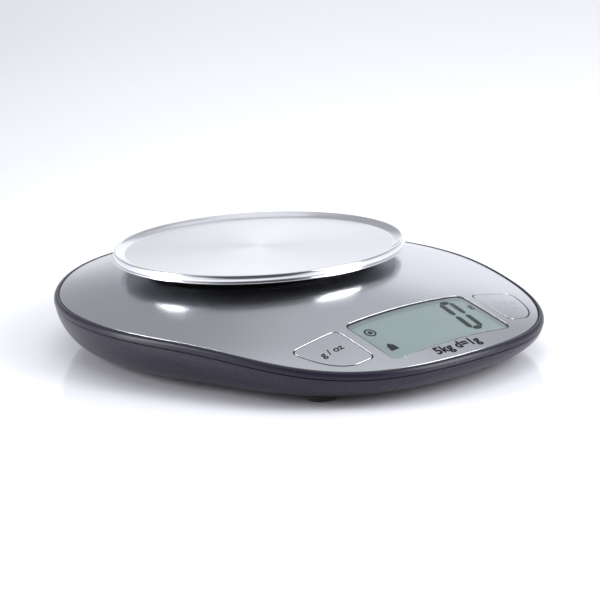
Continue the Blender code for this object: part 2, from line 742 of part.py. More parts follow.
def make_board():
    """The board, with a chip under its drop of resin, a crystal and the load cell's socket."""
    board = box("main_circuit_board", BOARD[0:2], BOARD[2:4], BOARD[4:6], GREEN)
    cuts = collection("main_circuit_board_cuts")
    bore = BOARD_SCREW[2] + 0.4 * MM
    for i, (x, y) in enumerate(BOARD_POSTS, 1):
        helper(peg(f"board_hole_{i}", x, y, BOARD[4] - PAST, BOARD[5] + PAST, bore), cuts)
    combine(board, "DIFFERENCE", cuts)
    low = BOARD[5] + GAP
    row = -78.0 * MM
    dome_radius, dome_height = 7.0 * MM, 1.8 * MM
    turns = [math.pi / 2 * i / 4 for i in range(5)]
    dome = [(dome_radius * math.sin(t), low + dome_height * math.cos(t)) for t in turns]
    turned("controller_chip", [*dome, (0, low)], BLACK, (-4 * MM, row, 0), steps=14)
    can_radius, can_height = 1.4 * MM, 3.4 * MM
    can = [
        (0, low + can_height),
        (can_radius - 0.3 * MM, low + can_height),
        (can_radius, low + can_height - 0.4 * MM),
        (can_radius, low),
        (0, low),
    ]
    turned("crystal", can, ZINC, (16 * MM, row, 0))
    box("load_cell_socket", (20 * MM, 30 * MM), (-70.7 * MM, -65.7 * MM), (low, low + 5 * MM), WHITE)


def lead_exits():
    """Where the two battery leads come out of the bay's left wall."""
    half = BATTERY_PITCH / 2
    return [(-BAY[0], BATTERY_Y - half), (-BAY[0], BATTERY_Y + half)]


def make_batteries():
    """Two AAA cells side by side, facing opposite ways, each with its spring."""
    cap = 0.8 * MM
    cap_radius = 1.9 * MM
    edge = 0.4 * MM
    body = BATTERY_LENGTH - cap
    profile = [
        (0, BATTERY_LENGTH),
        (cap_radius, BATTERY_LENGTH),
        (cap_radius, body),
        (BATTERY_RADIUS - edge, body),
        (BATTERY_RADIUS, body - edge),
        (BATTERY_RADIUS, edge),
        (BATTERY_RADIUS - edge, 0),
        (0, 0),
    ]
    tip = CONTACT_X - 2 * GAP
    for i, side in ((1, 1), (2, -1)):
        y = BATTERY_Y - side * BATTERY_PITCH / 2
        foot = side * (tip - BATTERY_LENGTH)
        turned(f"battery_{i}", profile, BLUE, (foot, y, BATTERY_Z), steps=16, turn=(0, side * math.pi / 2, 0))
        make_spring(f"battery_spring_{i}", side, foot, y)
    make_contacts()


def make_spring(name, side, foot, y):
    """A cone of wire between a cell's flat end and its contact."""
    wire = 0.3 * MM
    rest = wire + 0.05 * MM
    near = foot - side * (GAP + rest)
    far = -side * (CONTACT_X - GAP - rest)
    turns, per_turn = 3, 8
    wide, narrow = 3.6 * MM, 2.4 * MM
    path = []
    for step in range(turns * per_turn + 1):
        share = step / (turns * per_turn)
        angle = 2 * math.pi * turns * share
        coil = wide + (narrow - wide) * share
        spot = (far + (near - far) * share, y + coil * math.cos(angle), BATTERY_Z + coil * math.sin(angle))
        path.append(spot)
    tube(name, path, wire, ZINC)


def make_contacts():
    z = (BATTERY_Z - CONTACT_HALF, BATTERY_Z + CONTACT_HALF)
    front, rear = BATTERY_Y - BATTERY_PITCH / 2, BATTERY_Y + BATTERY_PITCH / 2
    right = (CONTACT_X, CONTACT_X + CONTACT_SHEET)
    left = (-right[1], -right[0])
    box("bridge_contact", right, (front - CONTACT_HALF, rear + CONTACT_HALF), z, ZINC)
    box("negative_contact", left, (front - CONTACT_HALF, front + CONTACT_HALF), z, ZINC)
    box("positive_contact", left, (rear - CONTACT_HALF, rear + CONTACT_HALF), z, ZINC)


def make_battery_door():
    """A lid flush with the floor. It swings down about its front lower edge."""
    size = Vector((2 * (BAY[0] - DOOR_CLEARANCE), 2 * (BAY[1] - DOOR_CLEARANCE), DOOR_SHEET))
    middle = Vector((0, BATTERY_Y, FLOOR_Z + DOOR_SHEET / 2))
    pivot = Vector((0, BATTERY_Y - size.y / 2 + 0.4 * MM, FLOOR_Z + 0.2 * MM))
    bpy.ops.mesh.primitive_cube_add(size=1)
    door = bpy.context.object
    door.data.transform(Matrix.Translation(middle - pivot) @ Matrix.Diagonal((*size, 1)))
    door.location = pivot
    put(door, "battery_door", GREY)
    edge = door.modifiers.new("edges", "BEVEL")
    edge.width = 0.4 * MM
    edge.segments = 1


def make_leads():
    """The battery bay's two wires and the load cell's cable, each along its own route to the board."""
    start, end = -0.2 * MM, BOARD[5] + 1.2 * MM
    (x1, y1), (x2, y2) = lead_exits()
    black = [
        (x1 + start, y1, LEAD_Z),
        (x1 - 6 * MM, y1, LEAD_Z),
        (-44 * MM, 52 * MM, 11 * MM),
        (-50 * MM, 30 * MM, 7 * MM),
        (-50 * MM, -5 * MM, 7 * MM),
        (-44 * MM, -40 * MM, 7 * MM),
        (-37 * MM, -58 * MM, 10 * MM),
        (-35 * MM, -67 * MM, end),
    ]
    red = [
        (x2 + start, y2, LEAD_Z),
        (x2 - 7 * MM, y2, LEAD_Z),
        (-47 * MM, 58 * MM, 11 * MM),
        (-54 * MM, 32 * MM, 7 * MM),
        (-54 * MM, -6 * MM, 7 * MM),
        (-47 * MM, -42 * MM, 7 * MM),
        (-40 * MM, -58 * MM, 10 * MM),
        (-39 * MM, -67 * MM, end),
    ]
    side = PAN_Y - CELL[1] / 2
    cable = [
        (-4 * MM, side - 1.2 * MM, 21 * MM),
        (0, side - 4 * MM, 16 * MM),
        (8 * MM, -10 * MM, 7.5 * MM),
        (18 * MM, -36 * MM, 7.5 * MM),
        (25 * MM, -56 * MM, 10 * MM),
        (25 * MM, -64.8 * MM, 11 * MM),
    ]
    tube("battery_lead_black", smooth_path(black, 3), 0.6 * MM, BLACK)
    tube("battery_lead_red", smooth_path(red, 3), 0.6 * MM, RED)
    tube("load_cell_cable", smooth_path(cable, 4), 1.1 * MM, WHITE)


clear_scene()
SCALE = collection("digital_scale")
STEEL = material("brushed_steel", (0.62, 0.63, 0.66), 0.28, 1.0)
GREY = material("grey_plastic", (0.075, 0.072, 0.092), 0.32)
BLACK = material("black_plastic", (0.02, 0.02, 0.022), 0.5)
CLEAR = material("clear_plastic", (0.75, 0.79, 0.76), 0.08)
LCD = material("lcd", (0.55, 0.6, 0.56), 0.3)
ALUMINIUM = material("aluminium", (0.75, 0.76, 0.78), 0.35, 1.0)
ZINC = material("zinc_plate", (0.7, 0.7, 0.68), 0.3, 1.0)
RUBBER = material("rubber", (0.05, 0.05, 0.05), 0.8)
GREEN = material("circuit_board", (0.02, 0.18, 0.07), 0.45)
WHITE = material("white_plastic", (0.8, 0.8, 0.78), 0.5)
BLUE = material("battery_wrap", (0.05, 0.16, 0.45), 0.3)
RED = material("red_wire", (0.6, 0.03, 0.02), 0.45)
AMBER = material("ribbon", (0.6, 0.3, 0.05), 0.4)

make_pan()
make_carrier()
make_load_cell()
make_plate()
make_upper_housing()
make_lower_housing()
make_fasteners()
make_feet()
make_display()
make_key("mode", -1)
make_key("tare", 1)
make_board()
make_batteries()
make_battery_door()
make_leads()

for part in SCALE.objects:
    if part.type == "MESH":
        smooth(part)
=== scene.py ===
"""The looks of the digital gram scale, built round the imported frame.

Metres, +Z up, in the frame's own axes: the display and the keys face -Y. The shell pieces are made again
here as fine meshes with their rolled and rounded edges. The pieces inside keep their CAD shape, with better
materials.
"""

import json
import math

import bmesh
import bpy
from mathutils import Matrix, Vector, kdtree
from mathutils.geometry import delaunay_2d_cdt

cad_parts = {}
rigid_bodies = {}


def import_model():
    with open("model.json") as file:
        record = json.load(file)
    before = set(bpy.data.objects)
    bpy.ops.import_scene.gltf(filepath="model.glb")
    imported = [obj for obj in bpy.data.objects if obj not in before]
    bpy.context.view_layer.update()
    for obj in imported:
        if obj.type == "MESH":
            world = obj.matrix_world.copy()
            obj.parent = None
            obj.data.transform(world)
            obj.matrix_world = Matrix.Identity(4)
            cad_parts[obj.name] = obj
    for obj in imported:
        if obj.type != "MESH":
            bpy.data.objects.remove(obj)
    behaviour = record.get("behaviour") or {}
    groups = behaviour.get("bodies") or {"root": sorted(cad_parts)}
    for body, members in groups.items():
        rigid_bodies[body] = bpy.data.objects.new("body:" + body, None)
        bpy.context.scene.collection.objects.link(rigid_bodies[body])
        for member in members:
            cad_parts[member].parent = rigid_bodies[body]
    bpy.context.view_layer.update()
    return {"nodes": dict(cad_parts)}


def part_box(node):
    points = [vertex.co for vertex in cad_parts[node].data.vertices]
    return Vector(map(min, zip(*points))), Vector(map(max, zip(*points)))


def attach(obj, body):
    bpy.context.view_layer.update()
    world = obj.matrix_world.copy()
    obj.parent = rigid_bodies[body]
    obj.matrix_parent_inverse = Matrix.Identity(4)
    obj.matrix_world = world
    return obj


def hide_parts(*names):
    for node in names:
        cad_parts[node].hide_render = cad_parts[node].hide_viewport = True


MM = 0.001

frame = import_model()

# ---- Driving dimensions, the same ones that shape the frame ------------------

APEX_Y = 17.3 * MM
APEX_Z = 37.46 * MM
CROWN_ACROSS = 291.5 * MM
CROWN_ALONG = 379.0 * MM
OUTLINE_Y = 0.18 * MM
OUTLINE_RADIUS = 101.9 * MM
OUTLINE_WAVES = (-0.6 * MM, 11.95 * MM, 1.45 * MM, 0.6 * MM, -1.7 * MM, -0.43 * MM, -0.77 * MM)
BACK_TRIM = 3.6 * MM
HUB_HOLE_RADIUS = 46.0 * MM
PLATE_SHEET = 0.5 * MM
DECK = 1.8 * MM
GAP = 0.3 * MM

RIM_WIDTH = 2.6 * MM
RIM_DEPTH = 2.8 * MM
TONGUE = 1.2 * MM
WALL = 1.8 * MM
FLOOR = 2.0 * MM
TUB_INSET = 13.0 * MM
TUB_POWER = 1.6

DISPLAY_CORNER = 3.5 * MM
KEY_CORNER = 2.0 * MM
KEY_TIP_X = 45.0 * MM
KEY_BOW = (56.0 * MM, -93.2 * MM)
KEY_GAP = 0.5 * MM

WINDOW_CLEARANCE = 0.35 * MM  # between the window and the plate's opening
DECK_INSET = 1.7 * MM  # where the deck's underside meets the rim's tongue

BATTERY_BAY = (25.8 * MM, 11.6 * MM, 16.4 * MM)  # half length, half width and ceiling height
BAY_WALL = 1.5 * MM
HOUSING_SCREWS = [(x * MM, y * MM) for x in (-62, 62) for y in (-46, 47)]
CELL_SCREWS = [(-20 * MM, 21.5 * MM), (-35 * MM, 21.5 * MM)]
BOSS_SEAT_Z = 14.3 * MM  # where an upper boss meets a lower one
BOSS_RADIUS = 3.2 * MM
BOSS_BORE = 1.75 * MM
BOSS_BLIND = 3.0 * MM  # how far below the deck the bore ends
FEET = ("foot_front_left", "foot_front_right", "foot_rear_left", "foot_rear_right")

FLOOR_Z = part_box("lower_housing")[0].z
INNER_Z = FLOOR_Z + FLOOR
ROOT_Z = FLOOR_Z + 0.5 * MM  # where the posts and walls on the floor start
PAST = 1.0 * MM  # how far a cut runs past a face

RING = 288  # points round the plate's edge
GRID = 4.0 * MM  # spacing of the points inside a sheet
GRID_CLEAR = 0.55 * GRID  # least distance from those points to the sheet's edges
LIP = 0.13 * MM  # rounding of a steel edge
SHARP = 38  # degrees between faces past which an edge shows
CUT_SHARP = 30  # the same for pieces that were cut
EXACT = 1e-9
WELD = 1e-7

MARK_LIFT = 0.005 * MM  # how far a mark's underside stands off its surface
MARK_THICK = 0.02 * MM
MARK_STROKE = 0.55 * MM
SEGMENT_THICK = 0.03 * MM
CAPITAL_SHARE = 0.7  # a capital's height in the font's own size
DIGIT_HEIGHT = 24.0 * MM
DIGIT_WIDTH = 8.2 * MM
DIGIT_STROKE = 2.6 * MM
DIGIT_SLANT = 0.105
DIGIT_GAP = 0.22 * MM
# Places on the display, from its middle.
DIGIT_PLACE = (18.6 * MM, 0.85 * MM)
SETTLED_PLACE = (-25.9 * MM, 6.0 * MM)
WEIGHT_PLACE = (-25.7 * MM, -6.4 * MM)
UNIT_PLACE = (28.4 * MM, 6.0 * MM)

LCD_COLOR = (0.25, 0.305, 0.312)
LCD_PAINTED_SHADOW = 0.74  # painted shadow of the opening's edge: how dark it makes the panel's right and back edges
LCD_PAINTED_SHADOW_REACH = (4.2 * MM, 1.8 * MM)  # where that painted shadow starts and where it is full
BARE_METAL = (0.55, 0.55, 0.54)
WRAP_GOLD = (0.55, 0.40, 0.10)
WRAP_DARK = (0.02, 0.03, 0.05)


# ---- Where things are, read from the frame -----------------------------------


def middle(node):
    low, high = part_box(node)
    return (low + high) / 2


def drops(node):
    """How far a crowned node's top and its underside lie below the crown."""
    heights = [plate_height(v.co.x, v.co.y) - v.co.z for v in frame["nodes"][node].data.vertices]
    return min(heights), max(heights)


def plate_height(x, y):
    return APEX_Z - x**2 / (2 * CROWN_ACROSS) - (y - APEX_Y) ** 2 / (2 * CROWN_ALONG)


def crown_normal(x, y):
    return Vector((x / CROWN_ACROSS, (y - APEX_Y) / CROWN_ALONG, 1)).normalized()


def outline(angle, offset=0.0):
    """The plate's edge, moved out by the offset. The angle is from the front, turning towards +X."""
    waves = sum(wave * math.cos((k + 1) * angle) for k, wave in enumerate(OUTLINE_WAVES))
    lobe = ((1 - math.cos(angle)) / 2) ** 35
    radius = OUTLINE_RADIUS + waves - BACK_TRIM * lobe + offset
    return radius * math.sin(angle), OUTLINE_Y - radius * math.cos(angle)


def angles(count=RING):
    return [2 * math.pi * i / count for i in range(count)]


def edge_ring(offset, drop):
    """A ring round the edge, at a drop below the plate's own edge."""
    return [(*outline(angle, offset), plate_height(*outline(angle)) - drop) for angle in angles()]


def on_crown(points, drop):
    return [(x, y, plate_height(x, y) - drop) for x, y in points]


# ---- Flat outlines -----------------------------------------------------------


def ellipse(x, y, across, along, count):
    return [(x + across * math.cos(a), y + along * math.sin(a)) for a in angles(count)]


def circle(x, y, radius, count=96):
    return ellipse(x, y, radius, radius, count)


def arc(cx, cy, radius, start, end, steps=8):
    """Points from one angle to another, in degrees."""
    turns = [math.radians(start + (end - start) * i / steps) for i in range(steps + 1)]
    return [(cx + radius * math.cos(a), cy + radius * math.sin(a)) for a in turns]


def dense(points, step=2.0 * MM):
    """The closed outline with points added along its long sides, so that it can follow the crown."""
    out = []
    for a, b in zip(points, points[1:] + points[:1]):
        length = math.dist(a, b)
        count = max(1, round(length / step))
        out += [(a[0] + (b[0] - a[0]) * i / count, a[1] + (b[1] - a[1]) * i / count) for i in range(count)]
    return out


def grown(points, distance):
    """An anticlockwise outline moved outwards by the distance."""
    out = []
    for before, here, after in zip(points[-1:] + points[:-1], points, points[1:] + points[:1]):
        first = Vector((here[1] - before[1], before[0] - here[0])).normalized()
        second = Vector((after[1] - here[1], here[0] - after[0])).normalized()
        way = (first + second).normalized()
        reach = distance / max(way.dot(first), 0.5)
        out.append((here[0] + way.x * reach, here[1] + way.y * reach))
    return out


def rounded_box(low, high, corner):
    points = arc(high[0] - corner, high[1] - corner, corner, 0, 90)
    points += arc(low[0] + corner, high[1] - corner, corner, 90, 180)
    points += arc(low[0] + corner, low[1] + corner, corner, 180, 270)
    points += arc(high[0] - corner, low[1] + corner, corner, 270, 360)
    return points


def display_opening():
    """The opening in the plate, which stands clear round the window's own edge."""
    low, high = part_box("display_window")
    clear = Vector((WINDOW_CLEARANCE, WINDOW_CLEARANCE))
    low, high = low.to_2d() - clear, high.to_2d() + clear
    return dense(rounded_box(low, high, DISPLAY_CORNER))


def key_outline(node):
    """A key skin's edge: straight beside the display, and bowed towards the plate's edge."""
    low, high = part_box(node)
    side = 1 if low.x > 0 else -1
    inner = min(abs(low.x), abs(high.x))
    outer = max(abs(low.x), abs(high.x))
    c = KEY_CORNER
    points = arc(inner + c, high.y - c, c, 90, 180) + arc(inner + c, low.y + c, c, 180, 270)
    tip, bow, end = Vector((KEY_TIP_X, low.y)), Vector(KEY_BOW), Vector((outer, high.y - c))
    steps = 20
    for i in range(1, steps + 1):
        share = i / steps
        points.append(tuple(tip.lerp(bow, share).lerp(bow.lerp(end, share), share)))
    points += arc(outer - c, high.y - c, c, 0, 90)[1:]
    points = dense(points)
    return points if side > 0 else [(-x, y) for x, y in reversed(points)]


def plate_openings():
    """The plate's openings, for the pan's hub, the display and the two keys."""
    hub = circle(0, middle("weighing_pan").y, HUB_HOLE_RADIUS)
    keys = [grown(key_outline(f"{side}_key_skin"), KEY_GAP) for side in ("mode", "tare")]
    return [hub, display_opening(), *keys]


# ---- Meshes ------------------------------------------------------------------


def inside(point, loops):
    """Whether a flat point lies within the loops, counting a loop within a loop as a hole."""
    x, y = point
    odd = False
    for loop in loops:
        for (x1, y1), (x2, y2) in zip(loop, loop[1:] + loop[:1]):
            if (y1 > y) != (y2 > y) and x < (x2 - x1) * (y - y1) / (y2 - y1) + x1:
                odd = not odd
    return odd


def fill(bm, loops, drop, mark):
    """Fills between loops of vertices with triangles that follow the crown, and marks them."""
    flat = [[(v.co.x, v.co.y) for v in loop] for loop in loops]
    verts = [v for loop in loops for v in loop]
    near = kdtree.KDTree(len(verts))
    for i, v in enumerate(verts):
        near.insert((v.co.x, v.co.y, 0), i)
    near.balance()
    xs = [x for x, _ in flat[0]]
    ys = [y for _, y in flat[0]]
    row = 0
    y = min(ys)
    while y < max(ys):
        x = min(xs) + (GRID / 2 if row % 2 else 0)
        while x < max(xs):
            if near.find((x, y, 0))[2] > GRID_CLEAR and inside((x, y), flat):
                verts.append(bm.verts.new((x, y, plate_height(x, y) - drop)))
            x += GRID
        y += GRID * math.sqrt(3) / 2
        row += 1
    edges = []
    start = 0
    for loop in loops:
        count = len(loop)
        edges += [(start + i, start + (i + 1) % count) for i in range(count)]
        start += count
    points = [Vector((v.co.x, v.co.y)) for v in verts]
    made, _, faces, origin, _, _ = delaunay_2d_cdt(points, edges, [], 1, EXACT)
    place = [verts[sources[0]] for sources in origin]
    for face in faces:
        center = sum((made[i] for i in face), Vector((0, 0))) / len(face)
        if inside(center, flat):
            bm.faces.new([place[i] for i in face]).material_index = mark


def bridge(bm, one, other, mark=0):
    for i in range(len(one)):
        j = (i + 1) % len(one)
        bm.faces.new((one[i], one[j], other[j], other[i])).material_index = mark


def sheet(name, sides, look, top, bottom, edge=None):
    """A closed sheet on the crown. A side is its rings, from the top's edge round to the underside's.

    With an edge look, the last two bands of each side and the underside take it; on the plate and the key
    skins that look is a near-black painted shadow, so that the gaps round them show dark.
    """
    bm = bmesh.new()
    loops = [[[bm.verts.new(point) for point in ring] for ring in side] for side in sides]
    for side in loops:
        for i, (one, other) in enumerate(zip(side, side[1:])):
            bridge(bm, one, other, 2 if i >= len(side) - 3 else 0)
    fill(bm, [side[0] for side in loops], top, 1)
    fill(bm, [side[-1] for side in loops], bottom, 2)
    obj = finished(bm, name, look)
    obj.data.materials.append(edge or look)
    crowned_normals(obj)
    return obj


def crowned_normals(obj):
    """Gives the top face the crown's normals, so that it mirrors without ripples, and settles the looks."""
    mesh = obj.data
    normals = [Vector((0, 0, 0))] * len(mesh.loops)
    for face in mesh.polygons:
        if face.material_index == 1:
            for i in face.loop_indices:
                spot = mesh.vertices[mesh.loops[i].vertex_index].co
                normals[i] = crown_normal(spot.x, spot.y)
        face.material_index = int(face.material_index == 2)
    mesh.normals_split_custom_set(normals)


def edge_rings(points, top, bottom, hole=False, lip=LIP, steps=4):
    """The rounded edge of a sheet: an outer edge, or round a hole."""
    way = 1 if hole else -1
    rings = []
    for i in range(steps + 1):
        turn = math.pi / 2 * i / steps
        loop = grown(points, way * lip * (1 - math.sin(turn)))
        rings.append(on_crown(loop, top + lip * (1 - math.cos(turn))))
    rings.append(on_crown(points, bottom - lip / 2))
    rings.append(on_crown(grown(points, way * lip / 2), bottom))
    return rings


def finished(bm, name, look, normals=True):
    """Turns a bmesh into a smooth-shaded object with its material."""
    if normals:
        bmesh.ops.recalc_face_normals(bm, faces=bm.faces)
    mesh = bpy.data.meshes.new(name)
    bm.to_mesh(mesh)
    bm.free()
    mesh.shade_smooth()
    mesh.set_sharp_from_angle(angle=math.radians(SHARP))
    mesh.materials.append(look)
    obj = bpy.data.objects.new(name, mesh)
    bpy.context.scene.collection.objects.link(obj)
    return obj


def loft(name, rings, look, around=False):
    """Joins rings of equal count: capped at both ends, or closed from the last ring round to the first."""
    bm = bmesh.new()
    loops = [[bm.verts.new(point) for point in ring] for ring in rings]
    for one, other in zip(loops, loops[1:]):
        bridge(bm, one, other)
    if around:
        bridge(bm, loops[-1], loops[0])
    else:
        bm.faces.new(loops[0])
        bm.faces.new(loops[-1])
    return finished(bm, name, look)


def turned(name, profile, look, x, y, steps=96, marks=None):
    """A solid of revolution from radius and height pairs, which start and end on the axis."""
    bm = bmesh.new()
    poles = [bm.verts.new((x, y, profile[i][1])) for i in (0, -1)]
    loops = []
    for radius, height in profile[1:-1]:
        loops.append([bm.verts.new((*point, height)) for point in circle(x, y, radius, steps)])
    for one, other in zip(loops, loops[1:]):
        bridge(bm, one, other)
    for pole, loop in zip(poles, (loops[0], loops[-1])):
        for i in range(steps):
            bm.faces.new((pole, loop[i], loop[(i + 1) % steps]))
    if marks:
        for face in bm.faces:
            spot = face.calc_center_median()
            face.material_index = marks(math.hypot(spot.x - x, spot.y - y), spot.z)
    return finished(bm, name, look)


def rounded(points, radius, steps=4):
    """A profile with each inner corner rounded by this radius, or by as much as its sides allow."""
    out = [points[0]]
    for before, here, after in zip(points, points[1:], points[2:]):
        a, b, c = Vector(before), Vector(here), Vector(after)
        reach = min(radius, (a - b).length / 2.2, (c - b).length / 2.2)
        start, end = b + (a - b).normalized() * reach, b + (c - b).normalized() * reach
        for i in range(steps + 1):
            share = i / steps
            out.append(tuple(start.lerp(b, share).lerp(b.lerp(end, share), share)))
    out.append(points[-1])
    return out


def peg(x, y, low, high, radius, top_radius=None, steps=48):
    """An upright cylinder or cone, as a mesh for a cut or a join."""
    bm = bmesh.new()
    bmesh.ops.create_cone(
        bm,
        cap_ends=True,
        segments=steps,
        radius1=radius,
        radius2=radius if top_radius is None else top_radius,
        depth=high - low,
    )
    bmesh.ops.translate(bm, vec=(x, y, (low + high) / 2), verts=bm.verts)
    return bm


def block(x, y, z, round_edges=0.0, segments=3):
    """A box between the two x, y and z, with its upright edges rounded."""
    bm = bmesh.new()
    size = Vector((x[1] - x[0], y[1] - y[0], z[1] - z[0]))
    place = Vector((x[0] + x[1], y[0] + y[1], z[0] + z[1])) / 2
    bmesh.ops.create_cube(bm, size=1, matrix=Matrix.Translation(place) @ Matrix.Diagonal((*size, 1)))
    if round_edges:
        upright = [e for e in bm.edges if abs(e.verts[0].co.z - e.verts[1].co.z) > size.z / 2]
        bmesh.ops.bevel(bm, geom=upright, offset=round_edges, segments=segments, affect="EDGES")
    return bm


def combined(obj, adds, cuts):
    """Joins the first bmeshes to the object, takes the second away, and applies both."""
    for operation, shapes in (("UNION", adds), ("DIFFERENCE", cuts)):
        if not shapes:
            continue
        where = bpy.data.collections.new(operation)
        for i, bm in enumerate(shapes):
            bmesh.ops.recalc_face_normals(bm, faces=bm.faces)
            mesh = bpy.data.meshes.new(f"{operation}_{i}")
            bm.to_mesh(mesh)
            bm.free()
            where.objects.link(bpy.data.objects.new(mesh.name, mesh))
        bpy.context.scene.collection.children.link(where)
        step = obj.modifiers.new(operation, "BOOLEAN")
        step.operation = operation
        step.operand_type = "COLLECTION"
        step.collection = where
        mesh = bpy.data.meshes.new_from_object(obj.evaluated_get(bpy.context.evaluated_depsgraph_get()))
        obj.modifiers.clear()
        obj.data = mesh
        for helper in list(where.objects):
            bpy.data.objects.remove(helper)
        bpy.data.collections.remove(where)
    obj.data.shade_smooth()
    obj.data.set_sharp_from_angle(angle=math.radians(CUT_SHARP))


# ---- Materials ---------------------------------------------------------------

NOISE_RANGE = (0.3, 0.7)  # where nearly all of a noise texture's values lie
SOFT_SCALE = 60.0  # of the slow change of colour
LEAST_ROUGHNESS = 0.02


def node(tree, kind, **values):
    made = tree.nodes.new(kind)
    for key, value in values.items():
        if key in made.inputs:
            made.inputs[key].default_value = value
        else:
            setattr(made, key, value)
    return made


def noise(tree, scale, stretch=(1, 1, 1), detail=3.0):
    """Noise in the object's own metres, stretched by different scales along its axes."""
    place = node(tree, "ShaderNodeTexCoord")
    mapping = node(tree, "ShaderNodeMapping")
    mapping.inputs["Scale"].default_value = stretch
    texture = node(tree, "ShaderNodeTexNoise", Scale=scale, Detail=detail)
    tree.links.new(place.outputs["Object"], mapping.inputs["Vector"])
    tree.links.new(mapping.outputs["Vector"], texture.inputs["Vector"])
    return texture.outputs["Fac"]


def spread(tree, source, start, end, low=0.0, high=1.0, kind="LINEAR"):
    """The source's range from start to end, spread between two values."""
    ranged = node(tree, "ShaderNodeMapRange", interpolation_type=kind)
    for name, value in (("From Min", start), ("From Max", end), ("To Min", low), ("To Max", high)):
        ranged.inputs[name].default_value = value
    tree.links.new(source, ranged.inputs["Value"])
    return ranged.outputs["Result"]


def material(
    name,
    color,
    roughness,
    metallic=0.0,
    vary=0.06,
    rough_vary=0.04,
    grain=900.0,
    stretch=(1, 1, 1),
    bump=0.0,
    bump_distance=0.02 * MM,
    **sockets,
):
    """A Principled material whose colour and roughness vary a little, with a fine grain in its bump."""
    made = bpy.data.materials.new(name)
    made.use_nodes = True
    tree = made.node_tree
    shader = tree.nodes["Principled BSDF"]
    shader.inputs["Metallic"].default_value = metallic
    for socket, value in sockets.items():
        shader.inputs[socket.replace("_", " ").title().replace("Ior", "IOR")].default_value = value
    soft = noise(tree, SOFT_SCALE, detail=2.0)
    tint = node(tree, "ShaderNodeMix", data_type="RGBA")
    tint.inputs["A"].default_value = (*(c * (1 - vary) for c in color), 1)
    tint.inputs["B"].default_value = (*(min(1, c * (1 + vary)) for c in color), 1)
    tree.links.new(spread(tree, soft, *NOISE_RANGE), tint.inputs["Factor"])
    tree.links.new(tint.outputs["Result"], shader.inputs["Base Color"])
    fine = noise(tree, grain, stretch)
    least = max(LEAST_ROUGHNESS, roughness - rough_vary)
    polish = spread(tree, fine, *NOISE_RANGE, least, roughness + rough_vary)
    tree.links.new(polish, shader.inputs["Roughness"])
    if bump:
        relief = node(tree, "ShaderNodeBump", Strength=bump, Distance=bump_distance)
        tree.links.new(fine, relief.inputs["Height"])
        tree.links.new(relief.outputs["Normal"], shader.inputs["Normal"])
    return made


def spun_steel():
    """Steel spun on a lathe: it streaks outwards from the middle under the lights, over fine rings."""
    made = material(
        "spun_steel", (0.95, 0.95, 0.95), 0.3, 1.0, vary=0.012, rough_vary=0.015, grain=700.0, anisotropic=0.5
    )
    tree = made.node_tree
    shader = tree.nodes["Principled BSDF"]
    turn = node(tree, "ShaderNodeTangent", direction_type="RADIAL", axis="Z")
    tree.links.new(turn.outputs["Tangent"], shader.inputs["Tangent"])
    place = node(tree, "ShaderNodeTexCoord")
    center = node(tree, "ShaderNodeMapping")
    center.inputs["Location"].default_value = -middle("weighing_pan")
    rings = node(tree, "ShaderNodeTexWave", wave_type="RINGS", rings_direction="Z", Scale=160.0, Detail=4.0)
    rings.inputs["Distortion"].default_value = 0.6
    tree.links.new(place.outputs["Object"], center.inputs["Vector"])
    tree.links.new(center.outputs["Vector"], rings.inputs["Vector"])
    relief = node(tree, "ShaderNodeBump", Strength=0.02, Distance=0.01 * MM)
    tree.links.new(rings.outputs["Fac"], relief.inputs["Height"])
    tree.links.new(relief.outputs["Normal"], shader.inputs["Normal"])
    return made


def lcd_face():
    """Pale grey-green glass, with a painted shadow that darkens it along its right and back edges, where the
    opening's edge would shade it.
    """
    made = material(
        "lcd_face", LCD_COLOR, 0.4, vary=0.015, rough_vary=0.03, grain=2500.0, specular_ior_level=0.25
    )
    tree = made.node_tree
    shader = tree.nodes["Principled BSDF"]
    place = node(tree, "ShaderNodeTexCoord")
    split = node(tree, "ShaderNodeSeparateXYZ")
    tree.links.new(place.outputs["Object"], split.inputs["Vector"])
    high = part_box("lcd_panel")[1]
    # Painted shadow: masks that darken the panel towards its right and back edges.
    shades = []
    for axis, edge in (("X", high.x), ("Y", high.y)):
        start, end = (edge - reach for reach in LCD_PAINTED_SHADOW_REACH)
        shades.append(spread(tree, split.outputs[axis], start, end, kind="SMOOTHSTEP"))
    painted_shadow_mask = node(tree, "ShaderNodeMath", operation="MAXIMUM")
    tree.links.new(shades[0], painted_shadow_mask.inputs[0])
    tree.links.new(shades[1], painted_shadow_mask.inputs[1])
    tint = node(tree, "ShaderNodeMix", data_type="RGBA")
    tint.inputs["B"].default_value = (*(LCD_PAINTED_SHADOW * c for c in LCD_COLOR), 1)
    tree.links.new(painted_shadow_mask.outputs[0], tint.inputs["Factor"])
    tree.links.new(shader.inputs["Base Color"].links[0].from_socket, tint.inputs["A"])
    tree.links.new(tint.outputs["Result"], shader.inputs["Base Color"])
    return made


def window_glass():
    return material(
        "window_glass",
        (0.98, 1.0, 0.99),
        0.03,
        vary=0.005,
        rough_vary=0.01,
        grain=400.0,
        transmission_weight=1.0,
        ior=1.16,
    )


